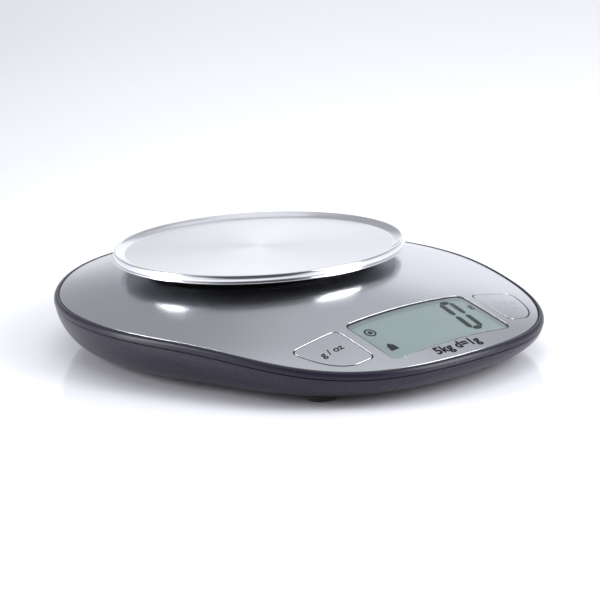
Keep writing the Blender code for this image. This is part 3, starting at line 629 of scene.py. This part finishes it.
def circuit_board():
    """Green solder mask with the paths of the copper just showing."""
    made = material("solder_mask", (0.012, 0.13, 0.05), 0.38, vary=0.2, grain=600.0, bump=0.2)
    tree = made.node_tree
    shader = tree.nodes["Principled BSDF"]
    place = node(tree, "ShaderNodeTexCoord")
    cells = node(tree, "ShaderNodeTexVoronoi", distance="MANHATTAN", feature="F1", Scale=330.0)
    steps = node(tree, "ShaderNodeMath", operation="FRACT")
    wide = node(tree, "ShaderNodeMath", operation="MULTIPLY")
    wide.inputs[1].default_value = 3.0
    tree.links.new(place.outputs["Object"], cells.inputs["Vector"])
    tree.links.new(cells.outputs["Distance"], wide.inputs[0])
    tree.links.new(wide.outputs[0], steps.inputs[0])
    ramp = node(tree, "ShaderNodeValToRGB")
    ramp.color_ramp.interpolation = "CONSTANT"
    ramp.color_ramp.elements[0].color = (0.010, 0.11, 0.04, 1)
    ramp.color_ramp.elements[1].position = 0.55
    ramp.color_ramp.elements[1].color = (0.02, 0.2, 0.075, 1)
    tree.links.new(steps.outputs[0], ramp.inputs["Fac"])
    tree.links.new(ramp.outputs["Color"], shader.inputs["Base Color"])
    return made


def battery_wrap():
    """A printed wrap with a plain band at one end and bare metal at both tips."""
    made = material("battery_wrap", (0.03, 0.12, 0.4), 0.25, vary=0.05, grain=500.0)
    tree = made.node_tree
    shader = tree.nodes["Principled BSDF"]
    place = node(tree, "ShaderNodeTexCoord")
    along = node(tree, "ShaderNodeSeparateXYZ")
    low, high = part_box("battery_1")
    band = spread(tree, along.outputs["X"], low.x, high.x)
    ramp = node(tree, "ShaderNodeValToRGB")
    ramp.color_ramp.interpolation = "CONSTANT"
    ramp.color_ramp.elements[0].color = (*BARE_METAL, 1)
    for position, color in ((0.015, WRAP_GOLD), (0.25, WRAP_DARK), (0.75, WRAP_GOLD), (0.985, BARE_METAL)):
        ramp.color_ramp.elements.new(position).color = (*color, 1)
    tree.links.new(place.outputs["Object"], along.inputs["Vector"])
    tree.links.new(band, ramp.inputs["Fac"])
    tree.links.new(ramp.outputs["Color"], shader.inputs["Base Color"])
    return made


STEEL = material(
    "satin_steel", (0.64, 0.66, 0.68), 0.2, 1.0, vary=0.01, rough_vary=0.006, stretch=(0.1, 1, 1)
)
RIM_STEEL = material(
    "polished_steel", (0.87, 0.875, 0.9), 0.09, 1.0, vary=0.02, rough_vary=0.02, grain=500.0
)
# Painted shadow: near-black, not the steel's own colour, for the cut walls and undersides of the plate and
# the key skins, so that the gaps between them show as dark lines.
PAINTED_GAP_SHADOW = material("painted_gap_shadow", (0.07, 0.07, 0.075), 0.55, 0.6, vary=0.1, bump=0.1)
DULL_STEEL = material("dull_steel", (0.42, 0.42, 0.44), 0.38, 1.0, vary=0.03, rough_vary=0.04, grain=500.0)
SPUN = spun_steel()
PLASTIC = material(
    "grey_plastic",
    (0.0165, 0.0145, 0.029),
    0.28,
    vary=0.04,
    rough_vary=0.03,
    grain=2600.0,
    bump=0.04,
    specular_ior_level=0.32,
)
BLACK = material("black_plastic", (0.012, 0.012, 0.014), 0.42, vary=0.15, grain=1500.0, bump=0.25)
RUBBER = material("rubber", (0.03, 0.03, 0.032), 0.75, vary=0.15, grain=1600.0, bump=0.4)
GLASS = window_glass()
LCD = lcd_face()
INK = material("ink", (0.007, 0.007, 0.008), 0.6, vary=0.2, grain=2500.0, bump=0.1, specular_ior_level=0.15)
PALE_INK = material("pale_ink", (0.30, 0.31, 0.34), 0.5, vary=0.1, grain=2500.0, bump=0.1)
SEGMENT = material(
    "lcd_segment", (0.007, 0.013, 0.012), 0.6, vary=0.15, grain=2500.0, specular_ior_level=0.1
)
ALUMINIUM = material(
    "milled_aluminium",
    (0.72, 0.73, 0.75),
    0.32,
    1.0,
    vary=0.03,
    grain=500.0,
    stretch=(1, 0.05, 1),
    bump=0.2,
    bump_distance=0.01 * MM,
)
ZINC = material("zinc_plate", (0.66, 0.66, 0.64), 0.28, 1.0, vary=0.08, rough_vary=0.08)
WHITE = material("white_nylon", (0.76, 0.76, 0.73), 0.5, vary=0.03, grain=1400.0, bump=0.15)
RESIN = material("black_resin", (0.01, 0.01, 0.01), 0.2, vary=0.3, grain=400.0, bump=0.3)
GREEN = circuit_board()
WRAP = battery_wrap()
RED = material("red_wire", (0.5, 0.02, 0.015), 0.42, vary=0.1, grain=1200.0, bump=0.1)
WIRE = material("black_wire", (0.015, 0.015, 0.016), 0.4, vary=0.1, grain=1200.0, bump=0.1)
JACKET = material("cable_jacket", (0.62, 0.62, 0.6), 0.45, vary=0.05, grain=1200.0, bump=0.15)
POTTING = material("silicone", (0.72, 0.72, 0.68), 0.35, vary=0.05, grain=500.0, bump=0.5)
RIBBON = material("ribbon_film", (0.5, 0.24, 0.04), 0.35, vary=0.3, grain=1400.0, stretch=(1, 0.02, 0.02))

LOOKS = (
    (BLACK, "pan_carrier lcd_tray mode_switch tare_switch"),
    (ZINC, "upper_spacer lower_spacer overload_stop crystal"),
    (PLASTIC, "mode_key tare_key"),
    (WHITE, "mode_switch_plunger tare_switch_plunger load_cell_socket"),
    (ALUMINIUM, "load_cell"),
    (POTTING, "strain_gauge_coating"),
    (RIBBON, "display_ribbon"),
    (GREEN, "main_circuit_board"),
    (RESIN, "controller_chip"),
    (WRAP, "battery_1 battery_2"),
    (WIRE, "battery_lead_black"),
    (RED, "battery_lead_red"),
    (JACKET, "load_cell_cable"),
)
CAD_LOOKS = {name: look for look, names in LOOKS for name in names.split()}
ZINC_NAMES = ("screw", "contact", "spring")


def dress_cad():
    """Gives each CAD node that stays its material."""
    for name, obj in frame["nodes"].items():
        look = CAD_LOOKS.get(name) or (ZINC if any(word in name for word in ZINC_NAMES) else PLASTIC)
        obj.data.materials.clear()
        obj.data.materials.append(look)


# ---- The pieces --------------------------------------------------------------

PAN_DISH = 1.9 * MM  # how far the face lies below the rim's crest
PAN_SLOPE = 5.1 * MM  # from the rim's outside to the face
PAN_SHEET = 0.8 * MM


def settle(obj, body, replaced=None, parent=None):
    """Rides the piece on its body, or on the piece that it is part of, and hides the CAD node that it stands
    for.
    """
    if parent:
        obj.parent = parent
    else:
        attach(obj, body)
    if replaced:
        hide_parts(replaced)


def make_pan():
    """The spun pan: a flat face, a slope up to the crest, and a rolled hem round the outside."""
    low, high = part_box("weighing_pan")
    center = (low + high) / 2
    r, crest, hem = (high.x - low.x) / 2, high.z, low.z
    face = crest - PAN_DISH
    face_r = r - PAN_SLOPE
    skirt_r = r - 1.2 * MM
    profile = [
        (0, face),
        (face_r * 0.5, face),
        (face_r - 0.3 * MM, face),
        (face_r, face + 0.02 * MM),
        (face_r + 0.4 * MM, face + 0.16 * MM),
        (r - 2.8 * MM, crest - 0.95 * MM),
        (r - 1.95 * MM, crest - 0.4 * MM),
        (r - 1.6 * MM, crest - 0.14 * MM),
        (skirt_r, crest - 0.01 * MM),
        (r - 0.9 * MM, crest - 0.03 * MM),
        (r - 0.68 * MM, crest - 0.18 * MM),
        (r - 0.54 * MM, crest - 0.42 * MM),
        (r - 0.44 * MM, crest - 0.9 * MM),
        (r - 0.16 * MM, hem + 0.98 * MM),
        (r - 0.22 * MM, hem + 0.86 * MM),
        (r - 0.07 * MM, hem + 0.66 * MM),
        (r, hem + 0.42 * MM),
        (r - 0.06 * MM, hem + 0.16 * MM),
        (r - 0.26 * MM, hem + 0.02 * MM),
        (r - 0.6 * MM, hem),
        (r - 0.95 * MM, hem + 0.14 * MM),
        (r - 1.1 * MM, hem + 0.5 * MM),
        (skirt_r, crest - 1.5 * MM),
        (r - 2.2 * MM, crest - 1.9 * MM),
        (face_r, face - PAN_SHEET),
        (0, face - PAN_SHEET),
    ]

    def part(radius, height):
        """0 for the spun face, 1 for the polished rim and 2 for the dull underside."""
        if height < face - 0.3 * MM and radius < skirt_r:
            return 2
        return int(radius > face_r - 0.2 * MM)

    pan = turned("pan", profile, SPUN, center.x, center.y, 240, part)
    pan.data.materials.append(RIM_STEEL)
    pan.data.materials.append(DULL_STEEL)
    settle(pan, "platform", "weighing_pan")


def make_plate():
    """The crowned steel plate with its openings; its cut walls and underside take the painted gap shadow."""
    sides = [edge_rings([outline(angle) for angle in angles()], 0, PLATE_SHEET)]
    sides += [edge_rings(hole, 0, PLATE_SHEET, hole=True) for hole in plate_openings()]
    plate = sheet("plate", sides, STEEL, 0, PLATE_SHEET, PAINTED_GAP_SHADOW)
    settle(plate, "base", "top_plate")
    return plate


def make_upper_housing():
    """The deck under the plate, and the rim that stands round it with a rolled lip."""
    top = PLATE_SHEET + GAP
    under = top + DECK
    rim = [
        (0.45 * MM, top),
        (0.48 * MM, 0.3 * MM),
        (0.65 * MM, 0.0),
        (1.15 * MM, -0.1 * MM),
        (1.95 * MM, 0.22 * MM),
        (2.5 * MM, 1.0 * MM),
        (RIM_WIDTH, 1.8 * MM),
        (RIM_WIDTH, RIM_DEPTH - 0.14 * MM),
        (RIM_WIDTH - 0.14 * MM, RIM_DEPTH),
        (-0.2 * MM, RIM_DEPTH),
        (-0.2 * MM, RIM_DEPTH + TONGUE),
        (-1.4 * MM, RIM_DEPTH + TONGUE),
        (-1.4 * MM, under + 0.2 * MM),
    ]
    rings = [edge_ring(offset, drop) for offset, drop in rounded(rim, 0.3 * MM, 2)]
    rings.append(on_crown([outline(angle, -DECK_INSET) for angle in angles()], under))
    sides = [rings, *([on_crown(hole, top), on_crown(hole, under)] for hole in plate_openings())]
    housing = sheet("rim_and_deck", sides, PLASTIC, top, under)
    settle(housing, "base", "upper_housing")
    for i, (x, y) in enumerate(HOUSING_SCREWS, 1):
        make_boss(f"screw_boss_{i}", x, y, plate_height(x, y) - under - 0.05 * MM, housing)


def make_boss(name, x, y, head, housing):
    """A hollow post under the deck for a casing screw."""
    steps = [
        (BOSS_RADIUS, BOSS_SEAT_Z),
        (BOSS_RADIUS, head),
        (BOSS_BORE, head - BOSS_BLIND),
        (BOSS_BORE, BOSS_SEAT_Z),
    ]
    rings = [[(*point, height) for point in circle(x, y, radius, 32)] for radius, height in steps]
    boss = loft(name, rings, PLASTIC, around=True)
    settle(boss, "base", parent=housing)


def tub_rings(offset, floor, inset, steps=16):
    """The tub's side from its floor up to the seam, in the curve of a superellipse."""
    rings = []
    for i in range(steps + 1):
        turn = math.pi / 2 * (1 - i / steps)
        share = math.sin(turn) ** (2 / TUB_POWER)
        bulge = 1 - math.cos(turn) ** (2 / TUB_POWER)
        ring = []
        for angle in angles():
            seam = plate_height(*outline(angle)) - RIM_DEPTH - GAP
            ring.append((*outline(angle, offset - inset * bulge), seam - (seam - floor) * share))
        rings.append(ring)
    return rings


def screw_hole(x, y, top, bore, head_depth, head):
    """The cuts for a screw from below: its bore, a counterbore for its head and a chamfered mouth."""
    return [
        peg(x, y, 0, top, bore),
        peg(x, y, -PAST, FLOOR_Z + head_depth, head),
        peg(x, y, FLOOR_Z - 0.2 * MM, FLOOR_Z + 0.5 * MM, head + 0.9 * MM, head - 0.1 * MM),
    ]


def screw_posts(adds, cuts):
    for x, y in HOUSING_SCREWS:
        adds.append(peg(x, y, ROOT_Z, FLOOR_Z + 11.0 * MM, 4.4 * MM))
        cuts += screw_hole(x, y, FLOOR_Z + 20 * MM, 1.8 * MM, 3.6 * MM, 3.5 * MM)


def battery_bay(adds, cuts):
    """The bay's walls and roof, its opening in the floor, and a finger scoop at the door's rear edge."""
    y = middle("battery_1").y / 2 + middle("battery_2").y / 2
    half, across, ceiling = BATTERY_BAY
    outer_half, outer_across = half + BAY_WALL, across + BAY_WALL
    walls = (-outer_half, outer_half), (y - outer_across, y + outer_across), (ROOT_Z, ceiling + BAY_WALL)
    adds.append(block(*walls))
    cuts.append(block((-half, half), (y - across, y + across), (-PAST, ceiling), 1.0 * MM))
    reach = 6.0 * MM
    edge = y + across
    cuts.append(block((-reach, reach), (edge - PAST, edge + 3.4 * MM), (0, FLOOR_Z + 1.1 * MM), 1.4 * MM))


def cell_pad(adds, cuts):
    """The raised pad under the load cell's fixed end."""
    low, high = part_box("load_cell")
    margin = 1.6 * MM
    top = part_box("lower_spacer")[0].z - GAP
    adds.append(block((low.x - 1.5 * MM, -14 * MM), (low.y - margin, high.y + margin), (ROOT_Z, top)))
    for x, y in CELL_SCREWS:
        cuts += screw_hole(x, y, top + PAST, 2.3 * MM, 3.3 * MM, 4.3 * MM)


def stop_post(adds, cuts):
    """The post that holds the overload stop."""
    stop = middle("overload_stop")
    bar_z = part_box("load_cell")[0].z
    adds.append(peg(stop.x, stop.y, ROOT_Z, bar_z - 3 * MM, 4.0 * MM))
    cuts.append(peg(stop.x, stop.y, INNER_Z - 0.5 * MM, bar_z, 2.3 * MM))


def board_posts(adds, cuts):
    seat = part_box("main_circuit_board")[0].z - GAP
    for i in (1, 2, 3, 4):
        post = middle(f"board_screw_{i}")
        adds.append(peg(post.x, post.y, ROOT_Z, seat, 2.6 * MM))
        cuts.append(peg(post.x, post.y, FLOOR_Z + 1.0 * MM, FLOOR_Z + 9 * MM, 1.3 * MM))


def floor_cuts():
    """Holes for the feet's plugs, and a blank, shallow panel where a rating label would go."""
    places = [middle(name) for name in FEET]
    holes = [peg(foot.x, foot.y, 0, INNER_Z + PAST, 2.4 * MM, steps=24) for foot in places]
    return [*holes, block((-24 * MM, 24 * MM), (-34 * MM, -8 * MM), (-PAST, FLOOR_Z + 0.35 * MM), 2.0 * MM)]


def lead_slots():
    """A slot for each battery lead in the bay's end wall."""
    half = BATTERY_BAY[0]
    slots = []
    for lead in ("battery_lead_black", "battery_lead_red"):
        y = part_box(lead)[1].y - 0.6 * MM
        slots.append(block((-half - 4 * MM, -half + PAST), (y - 1 * MM, y + 1 * MM), (14 * MM, 16 * MM)))
    return slots


def make_lower_housing():
    """The tub: a curved wall on a floor, with posts, the battery bay, and holes for screws and feet."""
    edge = RIM_WIDTH - 0.3 * MM
    roll = 0.15 * MM
    outside = tub_rings(edge, FLOOR_Z, TUB_INSET)
    outside[-1] = [(x, y, z - roll) for x, y, z in outside[-1]]
    seam_drop = RIM_DEPTH + GAP
    rolled = edge_ring(edge - roll, seam_drop)
    within = tub_rings(edge - WALL, INNER_Z, TUB_INSET - 0.3 * MM)
    tub = loft("tub", [*outside, rolled, *within[::-1]], PLASTIC)
    adds, cuts = [], []
    for fit in (screw_posts, battery_bay, cell_pad, stop_post, board_posts):
        fit(adds, cuts)
    cuts += floor_cuts() + lead_slots()
    combined(tub, adds, cuts)
    settle(tub, "base", "lower_housing")


def make_feet():
    """A rubber foot with a rolled edge and rings moulded in its sole."""
    shoulder = 2.7 * MM
    groove = ((0, 0), (0.3 * MM, 0.35 * MM), (0.8 * MM, 0.35 * MM), (1.1 * MM, 0))
    for name in FEET:
        low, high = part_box(name)
        center = (low + high) / 2
        r = (high.x - low.x) / 2
        profile = [
            (0, high.z),
            (1.6 * MM, high.z),
            (2.0 * MM, high.z - 0.6 * MM),
            (2.0 * MM, shoulder),
            (r - 0.3 * MM, shoulder),
            (r, shoulder - 0.3 * MM),
            (r, low.z + 0.9 * MM),
            (r - 0.3 * MM, low.z + 0.3 * MM),
            (r - 0.9 * MM, low.z),
        ]
        for start in (1.5 * MM, 3.2 * MM):
            profile += [(r - start - run, low.z + rise) for run, rise in groove]
        profile.append((0, low.z))
        title = name.replace("foot_", "rubber_foot_")
        foot = turned(title, rounded(profile, 0.2 * MM, 2), RUBBER, center.x, center.y, 48)
        settle(foot, "base", name)


def make_door():
    """The battery door: a lid with grip ribs by its tongue and a rounded edge."""
    low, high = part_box("battery_door")
    bm = block((low.x, high.x), (low.y, high.y), (low.z, high.z), 1.0 * MM, 5)
    flat = [e for e in bm.edges if abs(e.verts[0].co.z - e.verts[1].co.z) < 0.01 * MM]
    sharp = [e for e in flat if e.calc_face_angle() > 1.0]
    bmesh.ops.bevel(bm, geom=sharp, offset=0.25 * MM, segments=3, affect="EDGES")
    door = finished(bm, "door", PLASTIC)
    first, pitch, reach, taper, rib = 3.0 * MM, 1.5 * MM, 8.0 * MM, 1.0 * MM, 0.35 * MM
    cuts = []
    for i in range(5):
        y = high.y - first - pitch * i
        width = reach - taper * i
        cuts.append(block((-width, width), (y - rib, y + rib), (-PAST, low.z + rib), 0.3 * MM))
    combined(door, [], cuts)
    settle(door, "battery_door", "battery_door")


# ---- The keys and the display ------------------------------------------------


def make_keys():
    for side, mark in (("mode", make_unit_mark), ("tare", make_tare_marks)):
        node_name = f"{side}_key_skin"
        rings = edge_rings(key_outline(node_name), 0, PLATE_SHEET)
        # The skin's cut walls and underside take the painted gap shadow.
        skin = sheet(f"{side}_cap", [rings], STEEL, 0, PLATE_SHEET, PAINTED_GAP_SHADOW)
        settle(skin, f"{side}_key", node_name)
        mark(skin)


def mark_sheet(name, loops, surface, thick, look):
    """Thin marks: each entry is an outline with its holes. The surface lies this far below the crown."""
    bm = bmesh.new()
    drop = surface - MARK_LIFT
    for outer, *holes in loops:
        tops = [[bm.verts.new(p) for p in on_crown(loop, drop - thick)] for loop in (outer, *holes)]
        feet = [[bm.verts.new(p) for p in on_crown(loop, drop)] for loop in (outer, *holes)]
        for one, other in zip(tops, feet):
            bridge(bm, one, other)
        fill(bm, tops, drop - thick, 0)
        fill(bm, feet, drop, 0)
    return finished(bm, name, look)


def stroke(start, end, width):
    """A straight bar between two flat points."""
    a, b = Vector(start), Vector(end)
    side = (b - a).orthogonal().normalized() * width / 2
    return dense([tuple(a - side), tuple(b - side), tuple(b + side), tuple(a + side)], 3 * MM)


def anticlockwise(points):
    area = sum(x1 * y2 - x2 * y1 for (x1, y1), (x2, y2) in zip(points, points[1:] + points[:1]))
    return points if area > 0 else points[::-1]


def lettering(name, text, place, height, look, parent, bold, spacing=1.0, surface=0.0):
    """Flat letters laid on the crown, centred on a place. The surface lies this far below the crown."""
    curve = bpy.data.curves.new(name, "FONT")
    curve.body = text
    curve.size = height / CAPITAL_SHARE
    curve.align_x = "CENTER"
    curve.align_y = "CENTER"
    curve.resolution_u = 6
    curve.offset = bold
    curve.space_character = spacing
    curve.extrude = MARK_THICK
    holder = bpy.data.objects.new(name, curve)
    bpy.context.scene.collection.objects.link(holder)
    mesh = bpy.data.meshes.new_from_object(holder.evaluated_get(bpy.context.evaluated_depsgraph_get()))
    bpy.data.objects.remove(holder)
    bm = bmesh.new()
    bm.from_mesh(mesh)
    bmesh.ops.remove_doubles(bm, verts=bm.verts, dist=WELD)
    for v in bm.verts:
        x, y = v.co.x + place[0], v.co.y + place[1]
        v.co = (x, y, plate_height(x, y) - surface + MARK_LIFT + MARK_THICK + v.co.z)
    settle(finished(bm, name, look), None, parent=parent)


def make_unit_mark(skin):
    center = middle("mode_key_skin")
    place = (center.x + 0.6 * MM, center.y + 1.5 * MM)
    lettering("unit_mark", "g / oz", place, 3.4 * MM, INK, skin, 0.08 * MM)


def make_tare_marks(skin):
    """Two arrows that point at a zero, and a power sign in front of them."""
    center = middle("tare_key_skin")
    x, y = center.x - 0.4 * MM, center.y + 2.2 * MM
    loops = []
    for way in (-1, 1):
        tip = (x + way * 2.9 * MM, y)
        loops.append([stroke((x + way * 6.4 * MM, y), (tip[0] + way * 0.5 * MM, y), MARK_STROKE)])
        for lift in (-1, 1):
            barb = (tip[0] + way * 1.6 * MM, y + lift * 1.3 * MM)
            loops.append([stroke(barb, tip, MARK_STROKE)])
    loops.append([ellipse(x, y, 1.25 * MM, 1.9 * MM, 40), ellipse(x, y, 0.7 * MM, 1.35 * MM, 40)])
    settle(mark_sheet("tare_mark", loops, 0, MARK_THICK, PALE_INK), None, parent=skin)

    low = y - 5.6 * MM
    start, end = 125, 415
    ring = arc(x, low, 1.7 * MM, start, end, 40) + arc(x, low, 1.2 * MM, end, start, 40)
    bar = stroke((x, low + 0.3 * MM), (x, low + 2.3 * MM), 0.5 * MM)
    power = [[anticlockwise(ring)], [bar]]
    settle(mark_sheet("power_mark", power, 0, MARK_THICK, PALE_INK), None, parent=skin)


def make_display():
    """The window, the panel under it, and what the panel shows."""
    window_edge = grown(display_opening(), -WINDOW_CLEARANCE)
    top, bottom = drops("display_window")
    window = sheet("window", [edge_rings(window_edge, top, bottom, lip=0.12 * MM)], GLASS, top, bottom)
    settle(window, "base", "display_window")
    top, bottom = drops("lcd_panel")
    panel = sheet("lcd", [edge_rings(window_edge, top, bottom, lip=0.1 * MM)], LCD, top, bottom)
    settle(panel, "base", "lcd_panel")
    make_digit(panel, top)
    make_icons(panel, top)


def on_display(place):
    opening = middle("display_window")
    return opening.x + place[0], opening.y + place[1]


def segment(start, end, width):
    """One bar of a seven-segment digit, with pointed ends."""
    a, b = Vector(start), Vector(end)
    along = (b - a).normalized()
    side = along.orthogonal() * width / 2
    tip = along * width / 2
    return [tuple(p) for p in (a, a + tip - side, b - tip - side, b, b - tip + side, a + tip + side)]


def make_digit(panel, surface):
    """The lit zero, without the digit's middle bar."""
    x, y = on_display(DIGIT_PLACE)
    half_w, half_h = (DIGIT_WIDTH - DIGIT_STROKE) / 2, (DIGIT_HEIGHT - DIGIT_STROKE) / 2
    bars = []
    for level in (-1, 1):
        bars.append(((-half_w + DIGIT_GAP, level * half_h), (half_w - DIGIT_GAP, level * half_h)))
        for way in (-1, 1):
            bars.append(((way * half_w, level * DIGIT_GAP), (way * half_w, level * (half_h - DIGIT_GAP))))
    loops = []
    for start, end in bars:
        points = segment(start, end, DIGIT_STROKE)
        sheared = [(x + px + DIGIT_SLANT * py, y + py) for px, py in points]
        loops.append([dense(anticlockwise(sheared))])
    settle(mark_sheet("lit_zero", loops, surface, SEGMENT_THICK, SEGMENT), None, parent=panel)


def make_icons(panel, surface):
    """The small icons for a settled reading and for a weight, and the sign of the unit."""
    x, y = on_display(SETTLED_PLACE)
    ring = [ellipse(x, y, 2.4 * MM, 2.8 * MM, 48), ellipse(x, y, 1.6 * MM, 1.95 * MM, 48)]
    dot = [ellipse(x, y, 1.0 * MM, 1.2 * MM, 32)]
    x, y = on_display(WEIGHT_PLACE)
    right = [(2.1, -2.4), (1.5, 1.3), (0.75, 1.3), (0.75, 2.3)]
    left = [(-across, along) for across, along in right[::-1]]
    weight = [[(x + across * MM, y + along * MM) for across, along in right + left]]
    icons = mark_sheet("display_icons", [ring, dot, weight], surface, SEGMENT_THICK, SEGMENT)
    settle(icons, None, parent=panel)
    lettering("unit_sign", "g", on_display(UNIT_PLACE), 3.4 * MM, SEGMENT, panel, 0.16 * MM, surface=surface)


def make_capacity_mark(plate):
    center = middle("display_window")
    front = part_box("display_window")[0].y
    place = (center.x - 2.5 * MM, front - 4.0 * MM)
    lettering("capacity_mark", "5kg d=1g", place, 4.3 * MM, INK, plate, 0.22 * MM, 1.03)


# ---- The studio --------------------------------------------------------------

CAMERA_TURN, CAMERA_LIFT, CAMERA_ROLL = -38.61, 14.23, -2.80  # degrees
CAMERA_TARGET = Vector((-47.03, -64.51, 37.44)) * MM
CAMERA_DISTANCE = 782.56 * MM
CAMERA_LENS = 119.3
SENSOR = 36.0
FLOOR_RADIUS = 8.0

# Each light's place, the point it faces, its size, its power, and whether it shows in reflections.
LIGHTS = {
    "top_light": ((0.0, -0.2, 1.4), (0, 0, 0), (1.4, 1.4), 10.0, False),
    "left_light": ((-1.1, 0.66, 0.5), (0, 0, 0.02), (0.45, 1.0), 11.0, True),
    "right_light": ((0.58, -1.0, 0.6), (0, 0, 0.02), (0.7, 1.1), 17.0, True),
}

# The room's brightness between its white foot and its top: the height's share, and the level.
ROOM = ((0.09, 0.8), (0.19, 0.52), (0.34, 0.42), (0.75, 0.42))
ROOM_FOOT = 0.02
ROOM_TOP = (0.7, 0.7, 0.71, 1)

# The studio's panels: heading, lift, the angles where each is full and where it ends, and brightness.
PANELS = (
    (48, 12, 0, 24, 1.1),
    (67, 24, 3, 15, 0.5),
    (50, 43, 3, 17, 0.62),
    (38, 70, 4, 17, 0.9),
    (33, 59, 0, 10, 0.85),
    (58, 54, 0, 11, 0.8),
    (-140, 30, 30, 52, 0.1),
    (-58, 6, 16, 34, 1.25),
    (150, 6, 12, 30, 1.1),
)


def make_camera():
    """A long lens, at the front left and a little above the plate."""
    turn, lift, roll = (math.radians(a) for a in (CAMERA_TURN, CAMERA_LIFT, CAMERA_ROLL))
    back = Vector((math.sin(turn) * math.cos(lift), -math.cos(turn) * math.cos(lift), math.sin(lift)))
    right = Vector((math.cos(turn), math.sin(turn), 0))
    up = back.cross(right)
    tilted = right * math.cos(roll) + up * math.sin(roll)
    upright = -right * math.sin(roll) + up * math.cos(roll)
    data = bpy.data.cameras.new("camera")
    data.lens = CAMERA_LENS
    data.sensor_width = SENSOR
    data.clip_start = 0.01
    camera = bpy.data.objects.new("camera", data)
    place = Matrix.Translation(CAMERA_TARGET + back * CAMERA_DISTANCE)
    camera.matrix_world = place @ Matrix((tilted, upright, back)).transposed().to_4x4()
    bpy.context.scene.collection.objects.link(camera)
    bpy.context.scene.camera = camera


def make_floor():
    look = material(
        "studio_floor",
        (0.895, 0.9, 0.95),
        0.09,
        vary=0.003,
        rough_vary=0.01,
        grain=60.0,
        specular_ior_level=0.38,
    )
    bm = bmesh.new()
    bmesh.ops.create_circle(bm, cap_ends=True, segments=128, radius=FLOOR_RADIUS)
    finished(bm, "floor", look, normals=False)


def make_lights():
    for name, (place, target, size, power, shows) in LIGHTS.items():
        data = bpy.data.lights.new(name, "AREA")
        data.shape = "RECTANGLE"
        data.size, data.size_y = size
        data.energy = power
        lamp = bpy.data.objects.new(name, data)
        lamp.location = place
        lamp.rotation_euler = (Vector(target) - Vector(place)).to_track_quat("-Z", "Y").to_euler()
        lamp.visible_glossy = shows
        bpy.context.scene.collection.objects.link(lamp)


def heading(turn, lift):
    """The way towards an angle from +Y, turning to +X, and an angle above the floor, in degrees."""
    turn, lift = math.radians(turn), math.radians(lift)
    return Vector((math.sin(turn) * math.cos(lift), math.cos(turn) * math.cos(lift), math.sin(lift)))


def tinted(level):
    """A light grey of this brightness, a little towards blue."""
    return level * 0.97, level * 0.98, level * 1.05, 1


def make_world():
    """A room that is white near the floor and grey above it, with soft panels."""
    world = bpy.data.worlds.new("studio")
    bpy.context.scene.world = world
    world.use_nodes = True
    tree = world.node_tree
    background = tree.nodes["Background"]
    place = node(tree, "ShaderNodeTexCoord")
    split = node(tree, "ShaderNodeSeparateXYZ")
    ramp = node(tree, "ShaderNodeValToRGB")
    foot, top = ramp.color_ramp.elements
    foot.position = ROOM_FOOT
    foot.color = (1, 1, 1, 1)
    top.color = ROOM_TOP
    for position, level in ROOM:
        ramp.color_ramp.elements.new(position).color = tinted(level)
    tree.links.new(place.outputs["Generated"], split.inputs["Vector"])
    tree.links.new(split.outputs["Z"], ramp.inputs["Fac"])
    light = ramp.outputs["Color"]
    for turn, lift, full, end, level in PANELS:
        toward = node(tree, "ShaderNodeVectorMath", operation="DOT_PRODUCT")
        toward.inputs[1].default_value = heading(turn, lift)
        edges = (math.cos(math.radians(a)) for a in (end, full))
        fade = spread(tree, toward.outputs["Value"], *edges, kind="SMOOTHSTEP")
        panel = node(tree, "ShaderNodeMix", data_type="RGBA")
        panel.inputs["B"].default_value = tinted(level)
        tree.links.new(place.outputs["Generated"], toward.inputs[0])
        tree.links.new(fade, panel.inputs["Factor"])
        tree.links.new(light, panel.inputs["A"])
        light = panel.outputs["Result"]
    tree.links.new(light, background.inputs["Color"])


make_camera()
make_world()
make_floor()
make_lights()

dress_cad()
make_pan()
plate = make_plate()
make_upper_housing()
make_lower_housing()
make_feet()
make_door()
make_keys()
make_display()
make_capacity_mark(plate)

bpy.context.scene.view_settings.view_transform = "Standard"
